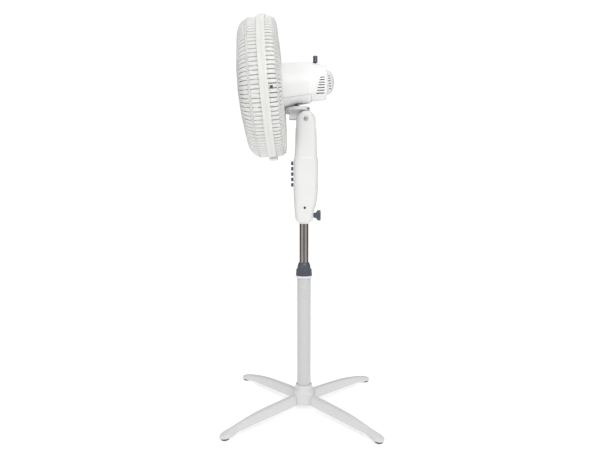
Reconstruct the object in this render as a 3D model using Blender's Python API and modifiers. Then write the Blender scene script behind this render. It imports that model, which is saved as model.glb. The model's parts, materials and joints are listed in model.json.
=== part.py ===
"""Pedestal fan: a cross base, a telescopic pole, a button housing and a tilting, oscillating head.

Metres, +Z up. The origin is on the pole's axis on the floor, and the fan blows towards -Y.
Each object is one real piece. Moving pieces hang from an empty that stands on their joint's axis.
"""

import math

import bmesh
import bpy
from mathutils import Matrix, Vector

# ---------------------------------------------------------------- driving dimensions
GAP = 0.0003  # clearance between pieces that meet
WALL = 0.0025  # moulded plastic wall

# Base
BASE_TURN = -2.2  # degrees that the base stands turned under the pole
LEG_ANGLES = [BASE_TURN + quarter for quarter in (45, 135, 225, 315)]
LEG_REACH = 0.2990  # pole axis to the centre of a leg's round end
LEG_END_RADIUS = 0.0155
LEG_ROOT = 0.0403  # pole axis to the plane where a leg meets the hub
LEG_PADDLE = 0.2580  # pole axis to where a leg starts to widen into its round end
LEG_TOP = 0.0480
LEG_HALF = 0.0080
HUB_FACE = 0.0330  # pole axis to the hub's four flat faces
HUB_CORNER = 0.0400  # pole axis to the hub's four corners, where the legs plug in
HUB_BOTTOM = 0.0170
HUB_TOP = 0.0760
SOCKET_LOW = 0.0195  # the sockets in the hub that the legs plug into
SOCKET_HIGH = 0.0455

# Pole and height tube
POLE_RADIUS = 0.02125
POLE_BORE = 0.0200
POLE_FOOT = 0.0305
POLE_TOP = 0.4143
TUBE_RADIUS = 0.0136
TUBE_BORE = 0.0122
TUBE_FOOT = 0.150
TUBE_TOP = 0.636

# Neck, the housing that holds the buttons
NECK_BOTTOM = 0.5817
NECK_CAVITY_FLOOR = 0.645
NECK_CAVITY_TOP = 0.862
NECK_BACK_AXIS = 0.0055  # the neck's centre stands a little behind the pole's
FORK_HALF = 0.0165  # half the slot between the neck's two ears
FORK_FLOOR = 0.8705
BUTTON_COUNT = 5
BUTTON_PITCH = 0.0163
BUTTON_TOP_Z = 0.7657
BUTTON_HALF = (0.0120, 0.00575)
PANEL_FACE = -0.0322
PANEL_BACK = -0.0292
PANEL_HALF = 0.0190
PANEL_LOW = BUTTON_TOP_Z - (BUTTON_COUNT - 1) * BUTTON_PITCH - 0.0095
PANEL_HIGH = BUTTON_TOP_Z + 0.0095
CLAMP_Z = 0.6072
NECK_SCREW_Y = 0.0022  # the short screw in the neck's left side that bears on the tube
NECK_SCREW_Z = 0.6317

# Tilt joint and oscillation axis
TILT_AXIS = Vector((0, NECK_BACK_AXIS, 0.8965))
SWIVEL = Vector((0, -0.0200, 0))  # the vertical axis that the head swings about
LINK_PIN = Vector((0.0138, -0.0154, 0))
CRANK_AXIS = Vector((0, 0.0300, 0))
CRANK_THROW = 0.0093
KNOB_AXIS = Vector((0.0130, 0.0331, 0))
CUP_RADIUS = 0.0380  # the round cup on top of the tilt bracket, under the motor housing
LINK_Z = 0.9607  # the underside of the link

# Head, in its own frame: local +Y runs back along the motor's shaft, and the origin is where
# the shaft's line crosses the swivel axis.
HEAD_ORIGIN = Vector((0, SWIVEL.y, 0.9953))
HEAD_DROOP = math.radians(4.46)  # the shaft points this much below level
HOUSING_FRONT = -0.0465
REAR_RAKE = 0.055  # the housing's rear face leans back towards its top
SEAM_SLOPE = math.atan(0.09)
VENT_COUNT = 7
VENT_PITCH = 0.00715
CAP_RISE = 0.0050  # the round cap on the housing stands this much above the shaft
BAND_Y = -0.0892
FACE_Y = -0.1732  # the middle of the front guard
GUARD_RADIUS = 0.2075
GUARD_SECTORS = 36  # every second sector is open

BLADE_COUNT = 3
BLADE_RADIUS = 0.185
HUB_RADIUS = 0.0300
HUB_BACK = 0.0640  # heights along the shaft, forwards from the swivel
HUB_FRONT = 0.0980

# ---------------------------------------------------------------- scene and materials
for old in list(bpy.data.objects):
    bpy.data.objects.remove(old)

FAN = bpy.data.collections.new("pedestal_fan")
CUTTERS = bpy.data.collections.new("cutters")
for collection in (FAN, CUTTERS):
    bpy.context.scene.collection.children.link(collection)


def finish_of(name, colour, roughness, metallic=0.0):
    """A Principled material."""
    made = bpy.data.materials.new(name)
    made.use_nodes = True
    shader = made.node_tree.nodes["Principled BSDF"]
    shader.inputs["Base Color"].default_value = (*colour, 1)
    shader.inputs["Roughness"].default_value = roughness
    shader.inputs["Metallic"].default_value = metallic
    return made


WHITE = finish_of("white_plastic", (0.84, 0.84, 0.83), 0.35)
GUARD = finish_of("guard_plastic", (0.80, 0.80, 0.76), 0.40)
GREY = finish_of("pale_grey_plastic", (0.70, 0.71, 0.71), 0.45)
ENAMEL = finish_of("white_enamel", (0.76, 0.76, 0.76), 0.30)
SLATE = finish_of("slate_plastic", (0.10, 0.12, 0.16), 0.40)
BLACK = finish_of("black_rubber", (0.03, 0.03, 0.03), 0.80)
CHROME = finish_of("dark_chrome", (0.55, 0.53, 0.51), 0.15, 1.0)
STEEL = finish_of("zinc_steel", (0.60, 0.62, 0.65), 0.30, 1.0)
COPPER = finish_of("lamination_steel", (0.35, 0.33, 0.32), 0.50, 1.0)
NYLON = finish_of("natural_nylon", (0.72, 0.70, 0.64), 0.45)


# ---------------------------------------------------------------- helpers
def axis_frame(name, location, tilt=0.0, parent=None):
    """An empty on a joint's axis, placed in world space."""
    empty = bpy.data.objects.new(name, None)
    empty.empty_display_size = 0.03
    FAN.objects.link(empty)
    world = Matrix.Translation(location) @ Matrix.Rotation(tilt, 4, "X")
    if parent:
        empty.parent = parent
        empty.matrix_parent_inverse = parent_world[parent.name].inverted()
    empty.matrix_basis = world
    parent_world[name] = world
    return empty


parent_world = {}


def hang(piece, parent):
    """Parents a piece that was built in world space, without moving it."""
    if parent:
        piece.parent = parent
        piece.matrix_parent_inverse = parent_world[parent.name].inverted()
    return piece


def new_object(name, mesh, finish, parent=None, smooth=40):
    piece = bpy.data.objects.new(name, mesh)
    mesh.materials.append(finish)
    FAN.objects.link(piece)
    if smooth:
        mesh.shade_smooth()
        mesh.set_sharp_from_angle(angle=math.radians(smooth))
    return hang(piece, parent)


def new_cutter(name, mesh):
    cutter = bpy.data.objects.new(name, mesh)
    CUTTERS.objects.link(cutter)
    cutter.hide_render = True
    cutter.display_type = "WIRE"
    return cutter


def mesh_from(name, build):
    """A mesh made by a function that fills a bmesh."""
    shape = bmesh.new()
    build(shape)
    bmesh.ops.recalc_face_normals(shape, faces=shape.faces)
    mesh = bpy.data.meshes.new(name)
    shape.to_mesh(mesh)
    shape.free()
    return mesh


def box_mesh(name, low, high, bevel=0.0, frame=None):
    """A box between two corners, with its edges rounded."""
    low, high = Vector(low), Vector(high)
    size = high - low

    def build(shape):
        place = Matrix.Translation((low + high) / 2) @ Matrix.Diagonal((*size, 1))
        bmesh.ops.create_cube(shape, size=1, matrix=place)
        if bevel:
            bmesh.ops.bevel(
                shape, geom=shape.edges[:], offset=bevel, segments=2, profile=0.6, affect="EDGES"
            )
        if frame:
            bmesh.ops.transform(shape, matrix=frame, verts=shape.verts)

    return mesh_from(name, build)


def rod_mesh(name, start, end, radius, sides=20):
    """A cylinder from one point to another, spun so no corner lands on the middle plane."""
    start, end = Vector(start), Vector(end)
    along = end - start

    def build(shape):
        place = Matrix.Translation((start + end) / 2) @ along.to_track_quat("Z", "Y").to_matrix().to_4x4()
        place = place @ Matrix.Rotation(math.radians(3.1), 4, "Z")
        bmesh.ops.create_cone(
            shape,
            cap_ends=True,
            segments=sides,
            radius1=radius,
            radius2=radius,
            depth=along.length,
            matrix=place,
        )

    return mesh_from(name, build)


def loft_mesh(name, rings, frame=None):
    """A closed skin of triangles through rings of equally many points, capped at both ends."""

    def build(shape):
        rows = [[shape.verts.new(point) for point in ring] for ring in rings]
        count = len(rows[0])
        for lower, upper in zip(rows, rows[1:]):
            for i in range(count):
                j = (i + 1) % count
                shape.faces.new((lower[i], lower[j], upper[j]))
                shape.faces.new((lower[i], upper[j], upper[i]))
        shape.faces.new(rows[0])
        shape.faces.new(rows[-1])
        if frame:
            bmesh.ops.transform(shape, matrix=frame, verts=shape.verts)

    return mesh_from(name, build)


def turned(name, outline, finish, steps=24, parent=None, frame=None):
    """A turned piece: the outline is (radius, height) and runs down its outer side.

    An outline that starts and ends on the axis makes a solid, and any other closes into a ring.
    """
    mesh = bpy.data.meshes.new(name)
    points = [(radius, 0, height) for radius, height in outline]
    edges = [(i, i + 1) for i in range(len(points) - 1)]
    if outline[0][0] > 0 or outline[-1][0] > 0:
        edges.append((len(points) - 1, 0))
    mesh.from_pydata(points, edges, [])
    piece = new_object(name, mesh, finish, None, smooth=0)
    screw = piece.modifiers.new("turn", "SCREW")
    screw.steps = screw.render_steps = steps
    screw.use_merge_vertices = True
    screw.merge_threshold = 0.00005
    screw.use_smooth_shade = True
    if frame:
        piece.matrix_basis = frame
    return hang(piece, parent)


def boolean(piece, cutter, operation="DIFFERENCE"):
    modifier = piece.modifiers.new(cutter.name, "BOOLEAN")
    modifier.object = cutter
    modifier.operation = operation
    modifier.solver = "EXACT"


def along_z(point):
    """The frame of a turned piece that stands at a point."""
    return Matrix.Translation(point)


HEAD = Matrix.Translation(HEAD_ORIGIN) @ Matrix.Rotation(HEAD_DROOP, 4, "X")
# Turned pieces of the head: the outline's height runs forwards from the swivel along the shaft.
SHAFT = HEAD @ Matrix.Rotation(math.radians(90), 4, "X")


def rounded_ring(half_x, front, back, height, count=20, square=3.0):
    """A level rounded rectangle: half its width, its front and back in Y, and its height."""
    centre, half_y = (front + back) / 2, (back - front) / 2
    points = []
    for i in range(count):
        angle = 2 * math.pi * i / count
        across, deep = math.cos(angle), math.sin(angle)
        points.append(
            Vector(
                (
                    half_x * math.copysign(abs(across) ** (2 / square), across),
                    centre + half_y * math.copysign(abs(deep) ** (2 / square), deep),
                    height,
                )
            )
        )
    return points


# ---------------------------------------------------------------- joint axes
collar_axis = axis_frame("collar_axis", (0, 0, POLE_TOP))
mast_axis = axis_frame("mast_axis", (0, 0, TUBE_FOOT))
tilt_axis = axis_frame("tilt_axis", TILT_AXIS, parent=mast_axis)
swivel_axis = axis_frame("swivel_axis", HEAD_ORIGIN, parent=tilt_axis)
rotor_axis = axis_frame("rotor_axis", HEAD_ORIGIN, tilt=HEAD_DROOP, parent=swivel_axis)
knob_axis = axis_frame("knob_axis", (KNOB_AXIS.x, KNOB_AXIS.y, 1.06), parent=swivel_axis)
wheel_axis = axis_frame("wheel_axis", (KNOB_AXIS.x, KNOB_AXIS.y, 1.0), parent=swivel_axis)
pinion_axis = axis_frame("pinion_axis", (KNOB_AXIS.x, KNOB_AXIS.y, 0.98), parent=swivel_axis)
crank_axis = axis_frame("crank_axis", (CRANK_AXIS.x, CRANK_AXIS.y, 0.96), parent=swivel_axis)
link_axis = axis_frame("link_axis", (LINK_PIN.x, LINK_PIN.y, 0.958), parent=tilt_axis)
clamp_axis = axis_frame("clamp_axis", (0, 0.03, CLAMP_Z), parent=mast_axis)


# ---------------------------------------------------------------- base
def hub_ring(height, face, corner, roundness):
    """A ring of the hub: four flat faces with corners towards the legs, blended into a circle."""
    circle = (face + corner) / 2
    points = []
    for i in range(24):
        angle = 2 * math.pi * i / 24
        turn = (angle + math.pi / 4) % (math.pi / 2) - math.pi / 4
        to_face = face / math.cos(turn)
        to_corner = corner / math.cos(math.pi / 4 - abs(turn))
        radius = min(to_face, to_corner) * (1 - roundness) + circle * roundness
        points.append(Vector((radius * math.cos(angle), radius * math.sin(angle), height)))
    return points


def make_hub():
    rings = [
        hub_ring(HUB_BOTTOM, HUB_FACE - 0.001, HUB_CORNER - 0.001, 0),
        hub_ring(HUB_BOTTOM + 0.001, HUB_FACE, HUB_CORNER, 0),
        hub_ring(0.0500, HUB_FACE, HUB_CORNER, 0),
        hub_ring(0.0540, HUB_FACE - 0.001, HUB_CORNER - 0.003, 0),
        hub_ring(0.0575, HUB_FACE - 0.003, HUB_CORNER - 0.006, 0.4),
        hub_ring(0.0610, 0.0284, 0.0284, 1),
        hub_ring(HUB_TOP - 0.001, 0.0256, 0.0256, 1),
        hub_ring(HUB_TOP, 0.0246, 0.0246, 1),
    ]
    base_turn = Matrix.Rotation(math.radians(BASE_TURN), 4, "Z")
    hub = new_object("base_hub", loft_mesh("base_hub", rings, frame=base_turn), WHITE)
    bore = rod_mesh("pole_seat", (0, 0, POLE_FOOT - GAP), (0, 0, HUB_TOP + 0.01), POLE_RADIUS + GAP, 32)
    boolean(hub, new_cutter("pole_seat", bore))
    bolt_hole = rod_mesh("pole_bolt_hole", (0, 0, 0), (0, 0, 0.05), 0.0045, 16)
    boolean(hub, new_cutter("pole_bolt_hole", bolt_hole))
    for i, angle in enumerate(LEG_ANGLES, 1):
        turn = Matrix.Rotation(math.radians(angle), 4, "Z")
        low, high = (0.0240, -0.0065, SOCKET_LOW), (0.0500, 0.0065, SOCKET_HIGH)
        boolean(hub, new_cutter(f"leg_socket_{i}", box_mesh(f"leg_socket_{i}", low, high, frame=turn)))
    for i in range(4):
        turn = Matrix.Rotation(math.radians(BASE_TURN + 90 * i), 4, "Z")
        low, high = (HUB_FACE - 0.0010, -0.0165, 0.0225), (HUB_FACE + 0.01, 0.0165, 0.0510)
        boolean(hub, new_cutter(f"hub_panel_{i}", box_mesh(f"hub_panel_{i}", low, high, frame=turn)))


def eased(share):
    """Rises smoothly from 0 to 1."""
    share = min(1.0, max(0.0, share))
    return share * share * (3 - 2 * share)


def leg_top(reach):
    """The height of a leg's ridge: falling gently at first, then in an arch to the foot."""
    out = (reach - LEG_ROOT) / (LEG_REACH + LEG_END_RADIUS - LEG_ROOT)
    return LEG_TOP - 0.0110 * out - 0.0245 * out**3.8


def leg_bottom(reach):
    """The height of a leg's lower edge: straight, with a small step down to the round end."""
    out = min(1.0, (reach - LEG_ROOT) / (LEG_PADDLE - LEG_ROOT))
    return HUB_BOTTOM - 0.0060 * out - 0.0045 * eased((reach - LEG_PADDLE) / 0.016)


def leg_half_width(reach):
    """Half a leg's width: slender as far as the round end, which it swells into."""
    past = reach - LEG_REACH
    if past > 0:
        return math.sqrt(max(LEG_END_RADIUS**2 - past**2, 0.0016**2))
    out = (reach - LEG_ROOT) / (LEG_PADDLE - LEG_ROOT)
    slender = LEG_HALF + 0.0010 * min(1.0, out)
    return slender + (LEG_END_RADIUS - slender) * eased((reach - LEG_PADDLE) / (LEG_REACH - LEG_PADDLE))


def leg_ring(reach, half, low, high):
    """A leg's section: upright sides under a flat ridge near the hub, and a low dome at the foot."""
    domed = eased((reach - 0.165) / 0.110)
    ridge = half * (0.80 - 0.40 * domed)
    shoulder = 0.0022 + ((high - low) * 0.72 - 0.0022) * domed
    side = [
        (half, low),
        (half * 0.98, high - shoulder),
        (half * (0.95 - 0.06 * domed), high - shoulder * 0.45),
        (ridge, high - shoulder * 0.06),
        (ridge * 0.5, high),
    ]
    section = side + [(-across, height) for across, height in reversed(side)]
    return [Vector((reach, across, height)) for across, height in section]


def make_leg(number, angle):
    turn = Matrix.Rotation(math.radians(angle), 4, "Z")
    rings = [leg_ring(reach, 0.0062, SOCKET_LOW + GAP, SOCKET_HIGH - GAP) for reach in (0.0243, LEG_ROOT)]
    reaches = [LEG_ROOT, 0.110, 0.165, 0.205, 0.235, LEG_PADDLE, 0.268, 0.282, LEG_REACH]
    reaches += [LEG_REACH + LEG_END_RADIUS * math.sin(math.radians(a)) for a in (30, 55, 75, 90)]
    for reach in reaches:
        rings.append(leg_ring(reach, leg_half_width(reach), leg_bottom(reach), leg_top(reach)))
    leg = new_object(f"leg_{number}", loft_mesh(f"leg_{number}", rings, frame=turn), WHITE)
    hollow = [
        leg_ring(reach, leg_half_width(reach) - WALL, leg_bottom(reach) - 0.003, leg_top(reach) - WALL)
        for reach in (0.048, 0.110, 0.165, 0.205, 0.235, 0.252)
    ]
    boolean(leg, new_cutter(f"leg_hollow_{number}", loft_mesh(f"leg_hollow_{number}", hollow, frame=turn)))
    seat = turn @ Vector((LEG_REACH, 0, 0))
    low = leg_bottom(LEG_REACH) - GAP
    turned(
        f"foot_{number}",
        [(0, low), (0.0115, low), (0.0120, low - 0.001), (0.0110, 0.0006), (0.0100, 0), (0, 0)],
        BLACK,
        steps=14,
        frame=along_z(seat),
    )


def make_pole():
    turned(
        "outer_pole",
        [(POLE_RADIUS, POLE_TOP), (POLE_RADIUS, POLE_FOOT), (POLE_BORE, POLE_FOOT), (POLE_BORE, POLE_TOP)],
        ENAMEL,
        steps=32,
    )
    plug = POLE_BORE - GAP
    turned(
        "pole_plug",
        [(plug - 0.001, 0.042), (plug, 0.041), (plug, POLE_FOOT), (0.0045, POLE_FOOT), (0.0045, 0.042)],
        NYLON,
    )
    turned(
        "pole_washer",
        [
            (0.0115, HUB_BOTTOM - GAP),
            (0.0120, HUB_BOTTOM - 0.0007),
            (0.0120, HUB_BOTTOM - 0.0017),
            (0.0045, HUB_BOTTOM - 0.0017),
            (0.0045, HUB_BOTTOM - GAP),
        ],
        STEEL,
        steps=16,
    )
    turned(
        "pole_bolt",
        [
            (0, 0.0400),
            (0.0036, 0.0400),
            (0.0040, 0.0395),
            (0.0040, HUB_BOTTOM - 0.0020),
            (0.0070, HUB_BOTTOM - 0.0020),
            (0.0075, HUB_BOTTOM - 0.0027),
            (0.0075, HUB_BOTTOM - 0.0060),
            (0.0068, HUB_BOTTOM - 0.0067),
            (0, HUB_BOTTOM - 0.0067),
        ],
        STEEL,
        steps=16,
    )
    flange = 0.0257
    turned(
        "pole_collet",
        [
            (0.0152, 0.4440),
            (0.0168, 0.4385),
            (0.0195, 0.4375),
            (0.0195, POLE_TOP + 0.0070),
            (flange - 0.0004, POLE_TOP + 0.0070),
            (flange, POLE_TOP + 0.0064),
            (flange, POLE_TOP + 0.0026),
            (flange - 0.0022, POLE_TOP + GAP),
            (POLE_BORE - GAP, POLE_TOP + GAP),
            (POLE_BORE - GAP, 0.3700),
            (TUBE_RADIUS + GAP, 0.3700),
            (TUBE_RADIUS + GAP, 0.4440),
        ],
        WHITE,
        steps=24,
    )


def make_collar():
    """The nut that closes the collet: a smooth cone above a gripping ring."""
    turned(
        "height_collar",
        [
            (0.0146, 0.4625),
            (0.0154, 0.4616),
            (0.0184, 0.4550),
            (0.0198, 0.4480),
            (0.0202, 0.4428),
            (0.0228, 0.4420),
            (0.0236, 0.4402),
            (0.0249, 0.4228),
            (0.0243, POLE_TOP + 0.0074),
            (0.0199, POLE_TOP + 0.0074),
            (0.0199, 0.4382),
            (0.0156, 0.4450),
            (0.0141, 0.4500),
            (0.0141, 0.4625),
        ],
        SLATE,
        steps=24,
        parent=collar_axis,
    )


def make_tube():
    turned(
        "inner_tube",
        [(TUBE_RADIUS, TUBE_TOP), (TUBE_RADIUS, TUBE_FOOT), (TUBE_BORE, TUBE_FOOT), (TUBE_BORE, TUBE_TOP)],
        CHROME,
        steps=24,
        parent=mast_axis,
    )
    outer, inner = POLE_BORE - 0.0004, TUBE_RADIUS + GAP
    turned(
        "guide_bush",
        [
            (outer - 0.001, TUBE_FOOT + 0.030),
            (outer, TUBE_FOOT + 0.029),
            (outer, TUBE_FOOT + 0.003),
            (outer - 0.001, TUBE_FOOT + 0.002),
            (inner, TUBE_FOOT + 0.002),
            (inner, TUBE_FOOT + 0.030),
        ],
        NYLON,
        steps=24,
        parent=mast_axis,
    )


# ---------------------------------------------------------------- neck
# (height, front, back, half the width) of the neck, from its chamfered foot to its round top
NECK_STATIONS = [
    (NECK_BOTTOM, -0.0105, 0.0125, 0.0155),
    (0.5850, -0.0170, 0.0185, 0.0210),
    (0.5928, -0.0248, 0.0265, 0.0262),
    (0.6118, -0.0275, 0.0283, 0.0288),
    (0.6229, -0.0286, 0.0300, 0.0298),
    (0.6367, -0.0296, 0.0359, 0.0310),
    (0.6612, -0.0308, 0.0398, 0.0325),
    (0.7020, -0.0320, 0.0424, 0.0340),
    (0.7650, -0.0316, 0.0424, 0.0340),
    (0.7790, -0.0305, 0.0421, 0.0337),
    (0.7835, -0.0292, 0.0398, 0.0322),
    (0.8370, -0.0262, 0.0381, 0.0310),
    (0.8780, -0.0254, 0.0367, 0.0303),
]
NECK_TOP_CENTRE = 0.8860
NECK_TOP_RISE = 0.0350
NECK_TOP_HALF = 0.0310


def neck_rings(inset=0.0, low=0.0, high=1.0):
    """The neck's sections, drawn in by a wall and kept between two heights."""
    stations = list(NECK_STATIONS)
    for angle in (0, 30, 50, 65, 78):
        rise = NECK_TOP_RISE * math.sin(math.radians(angle)) ** 0.83
        half = NECK_TOP_HALF * math.cos(math.radians(angle)) ** 0.83
        width = 0.0300 - 0.0030 * (angle / 78) ** 3
        stations.append((NECK_TOP_CENTRE + rise, NECK_BACK_AXIS - half, NECK_BACK_AXIS + half, width))
    kept = [s for s in stations if low < s[0] < high]
    if low > NECK_BOTTOM:
        kept.insert(0, (low, *kept[0][1:]))
    if high < NECK_TOP_CENTRE:
        kept.append((high, *kept[-1][1:]))
    return [rounded_ring(w - inset, f + inset, b - inset, z) for z, f, b, w in kept]


def make_neck():
    """Two half shells that meet on the fan's middle plane."""
    across = Vector((0.05, 0, 0))
    screw = Vector((0, NECK_SCREW_Y, NECK_SCREW_Z))
    clamp = Vector((0, 0.05, CLAMP_Z))
    window_low = (-PANEL_HALF - GAP, -0.06, PANEL_LOW - GAP)
    window_high = (PANEL_HALF + GAP, PANEL_BACK + 0.004, PANEL_HIGH + GAP)
    socket_top = (0, 0, NECK_CAVITY_FLOOR + 0.004)
    shapes = {
        "neck_cavity": loft_mesh("neck_cavity", neck_rings(WALL, NECK_CAVITY_FLOOR, NECK_CAVITY_TOP)),
        "tube_socket": rod_mesh("tube_socket", (0, 0, 0.55), socket_top, TUBE_RADIUS + GAP, 32),
        "fork_slot": box_mesh("fork_slot", (-FORK_HALF, -0.06, FORK_FLOOR), (FORK_HALF, 0.06, 0.96)),
        "tilt_bolt_hole": rod_mesh("tilt_bolt_hole", TILT_AXIS - across, TILT_AXIS + across, 0.0044, 16),
        "panel_window": box_mesh("panel_window", window_low, window_high),
        "clamp_hole": rod_mesh("clamp_hole", (0, 0.005, CLAMP_Z), clamp, 0.0044, 16),
        "neck_screw_hole": rod_mesh("neck_screw_hole", screw + across * 0.2, screw + across, 0.0022, 12),
        "neck_screw_pocket": rod_mesh("neck_screw_pocket", screw + across * 0.51, screw + across, 0.0040, 16),
    }
    cutters = [new_cutter(name, shape) for name, shape in shapes.items()]
    for name, side in (("neck_left", 1), ("neck_right", -1)):
        half = new_object(name, loft_mesh(name, neck_rings()), WHITE, mast_axis)
        for cutter in cutters:
            boolean(half, cutter)
        away = sorted((-side * 0.08, side * GAP / 2))
        other_side = box_mesh(f"{name}_split", (away[0], -0.08, 0.5), (away[1], 0.08, 1.0))
        boolean(half, new_cutter(f"{name}_split", other_side))


def button_height(number):
    """Button 1 is the top one."""
    return BUTTON_TOP_Z - (number - 1) * BUTTON_PITCH


def make_controls():
    low, high = (-PANEL_HALF, PANEL_FACE, PANEL_LOW), (PANEL_HALF, PANEL_BACK, PANEL_HIGH)
    panel = new_object("control_panel", box_mesh("control_panel", low, high, 0.0008), WHITE, mast_axis)
    for number in range(1, BUTTON_COUNT + 1):
        z = button_height(number)
        wide, tall = BUTTON_HALF
        hole = box_mesh(
            f"button_hole_{number}",
            (-wide - 0.0004, -0.06, z - tall - 0.0004),
            (wide + 0.0004, 0, z + tall + 0.0004),
        )
        boolean(panel, new_cutter(f"button_hole_{number}", hole))
        rings = [
            [Vector((x, y, z + up)) for x, up in ((-w, -t), (w, -t), (w, t), (-w, t))]
            for y, w, t in (
                (PANEL_BACK + 0.0020, wide + 0.0015, tall + 0.0014),
                (PANEL_BACK + GAP, wide + 0.0015, tall + 0.0014),
                (PANEL_BACK + GAP, wide, tall),
                (-0.0380, wide - 0.0004, tall - 0.0006),
                (-0.0395, wide - 0.0020, tall - 0.0020),
            )
        ]
        spot = axis_frame(f"button_axis_{number}", (0, PANEL_FACE, z), parent=mast_axis)
        new_object(f"button_{number}", loft_mesh(f"button_{number}", rings), SLATE, spot, smooth=30)
    low, high = (-0.0150, -0.0225, PANEL_LOW + 0.004), (0.0150, -0.0040, PANEL_HIGH - 0.004)
    new_object("switch_block", box_mesh("switch_block", low, high, 0.001), GREY, mast_axis)


def make_neck_fixings():
    """The tilt bolt and its nut, the screw that holds the tube, and the thumb screw."""
    across = Matrix.Translation(TILT_AXIS) @ Matrix.Rotation(math.radians(90), 4, "Y")
    turned(
        "tilt_bolt",
        [
            (0, 0.0340),
            (0.0040, 0.0337),
            (0.0058, 0.0325),
            (0.0060, 0.0306),
            (0.0040, 0.0306),
            (0.0040, -0.0350),
            (0, -0.0350),
        ],
        STEEL,
        steps=16,
        parent=mast_axis,
        frame=across,
    )
    turned(
        "tilt_nut",
        [(0.0075, -0.0306), (0.0075, -0.0345), (0.0051, -0.0345), (0.0051, -0.0306)],
        STEEL,
        steps=6,
        parent=mast_axis,
        frame=across,
    )
    side = Matrix.Translation((0, NECK_SCREW_Y, NECK_SCREW_Z)) @ Matrix.Rotation(math.radians(90), 4, "Y")
    turned(
        "neck_screw",
        [
            (0, 0.0272),
            (0.0030, 0.0272),
            (0.0034, 0.0264),
            (0.0034, 0.0258),
            (0.0018, 0.0258),
            (0.0018, TUBE_RADIUS + 0.0006),
            (0, TUBE_RADIUS + 0.0006),
        ],
        STEEL,
        steps=14,
        parent=mast_axis,
        frame=side,
    )
    # The outline's height runs backwards, out of the neck's rear face.
    back = Matrix.Translation((0, 0, CLAMP_Z)) @ Matrix.Rotation(math.radians(-90), 4, "X")
    turned(
        "clamp_screw",
        [(0, 0.0440), (0.0038, 0.0440), (0.0040, 0.0436), (0.0040, 0.0150), (0.0034, 0.0142), (0, 0.0142)],
        STEEL,
        steps=16,
        parent=clamp_axis,
        frame=back,
    )
    # (depth, radius, how far the two wings reach beyond it)
    knob_sections = (
        (0.0290, 0.0062, 0.0),
        (0.0345, 0.0068, 0.0),
        (0.0385, 0.0080, 0.35),
        (0.0410, 0.0088, 0.75),
        (0.0495, 0.0090, 0.80),
        (0.0512, 0.0078, 0.75),
    )
    rings = []
    for depth, radius, wing in knob_sections:
        ring = []
        for i in range(24):
            angle = 2 * math.pi * i / 24
            spread = radius * (1 + wing * abs(math.cos(angle)) ** 2.5)
            ring.append(Vector((spread * math.sin(angle), depth, CLAMP_Z + spread * math.cos(angle))))
        rings.append(ring)
    knob = new_object("clamp_knob", loft_mesh("clamp_knob", rings), SLATE, clamp_axis)
    seat = rod_mesh("clamp_knob_bore", (0, 0.0, CLAMP_Z), (0, 0.0444, CLAMP_Z), 0.0040 + GAP, 16)
    boolean(knob, new_cutter("clamp_knob_bore", seat))


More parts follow.
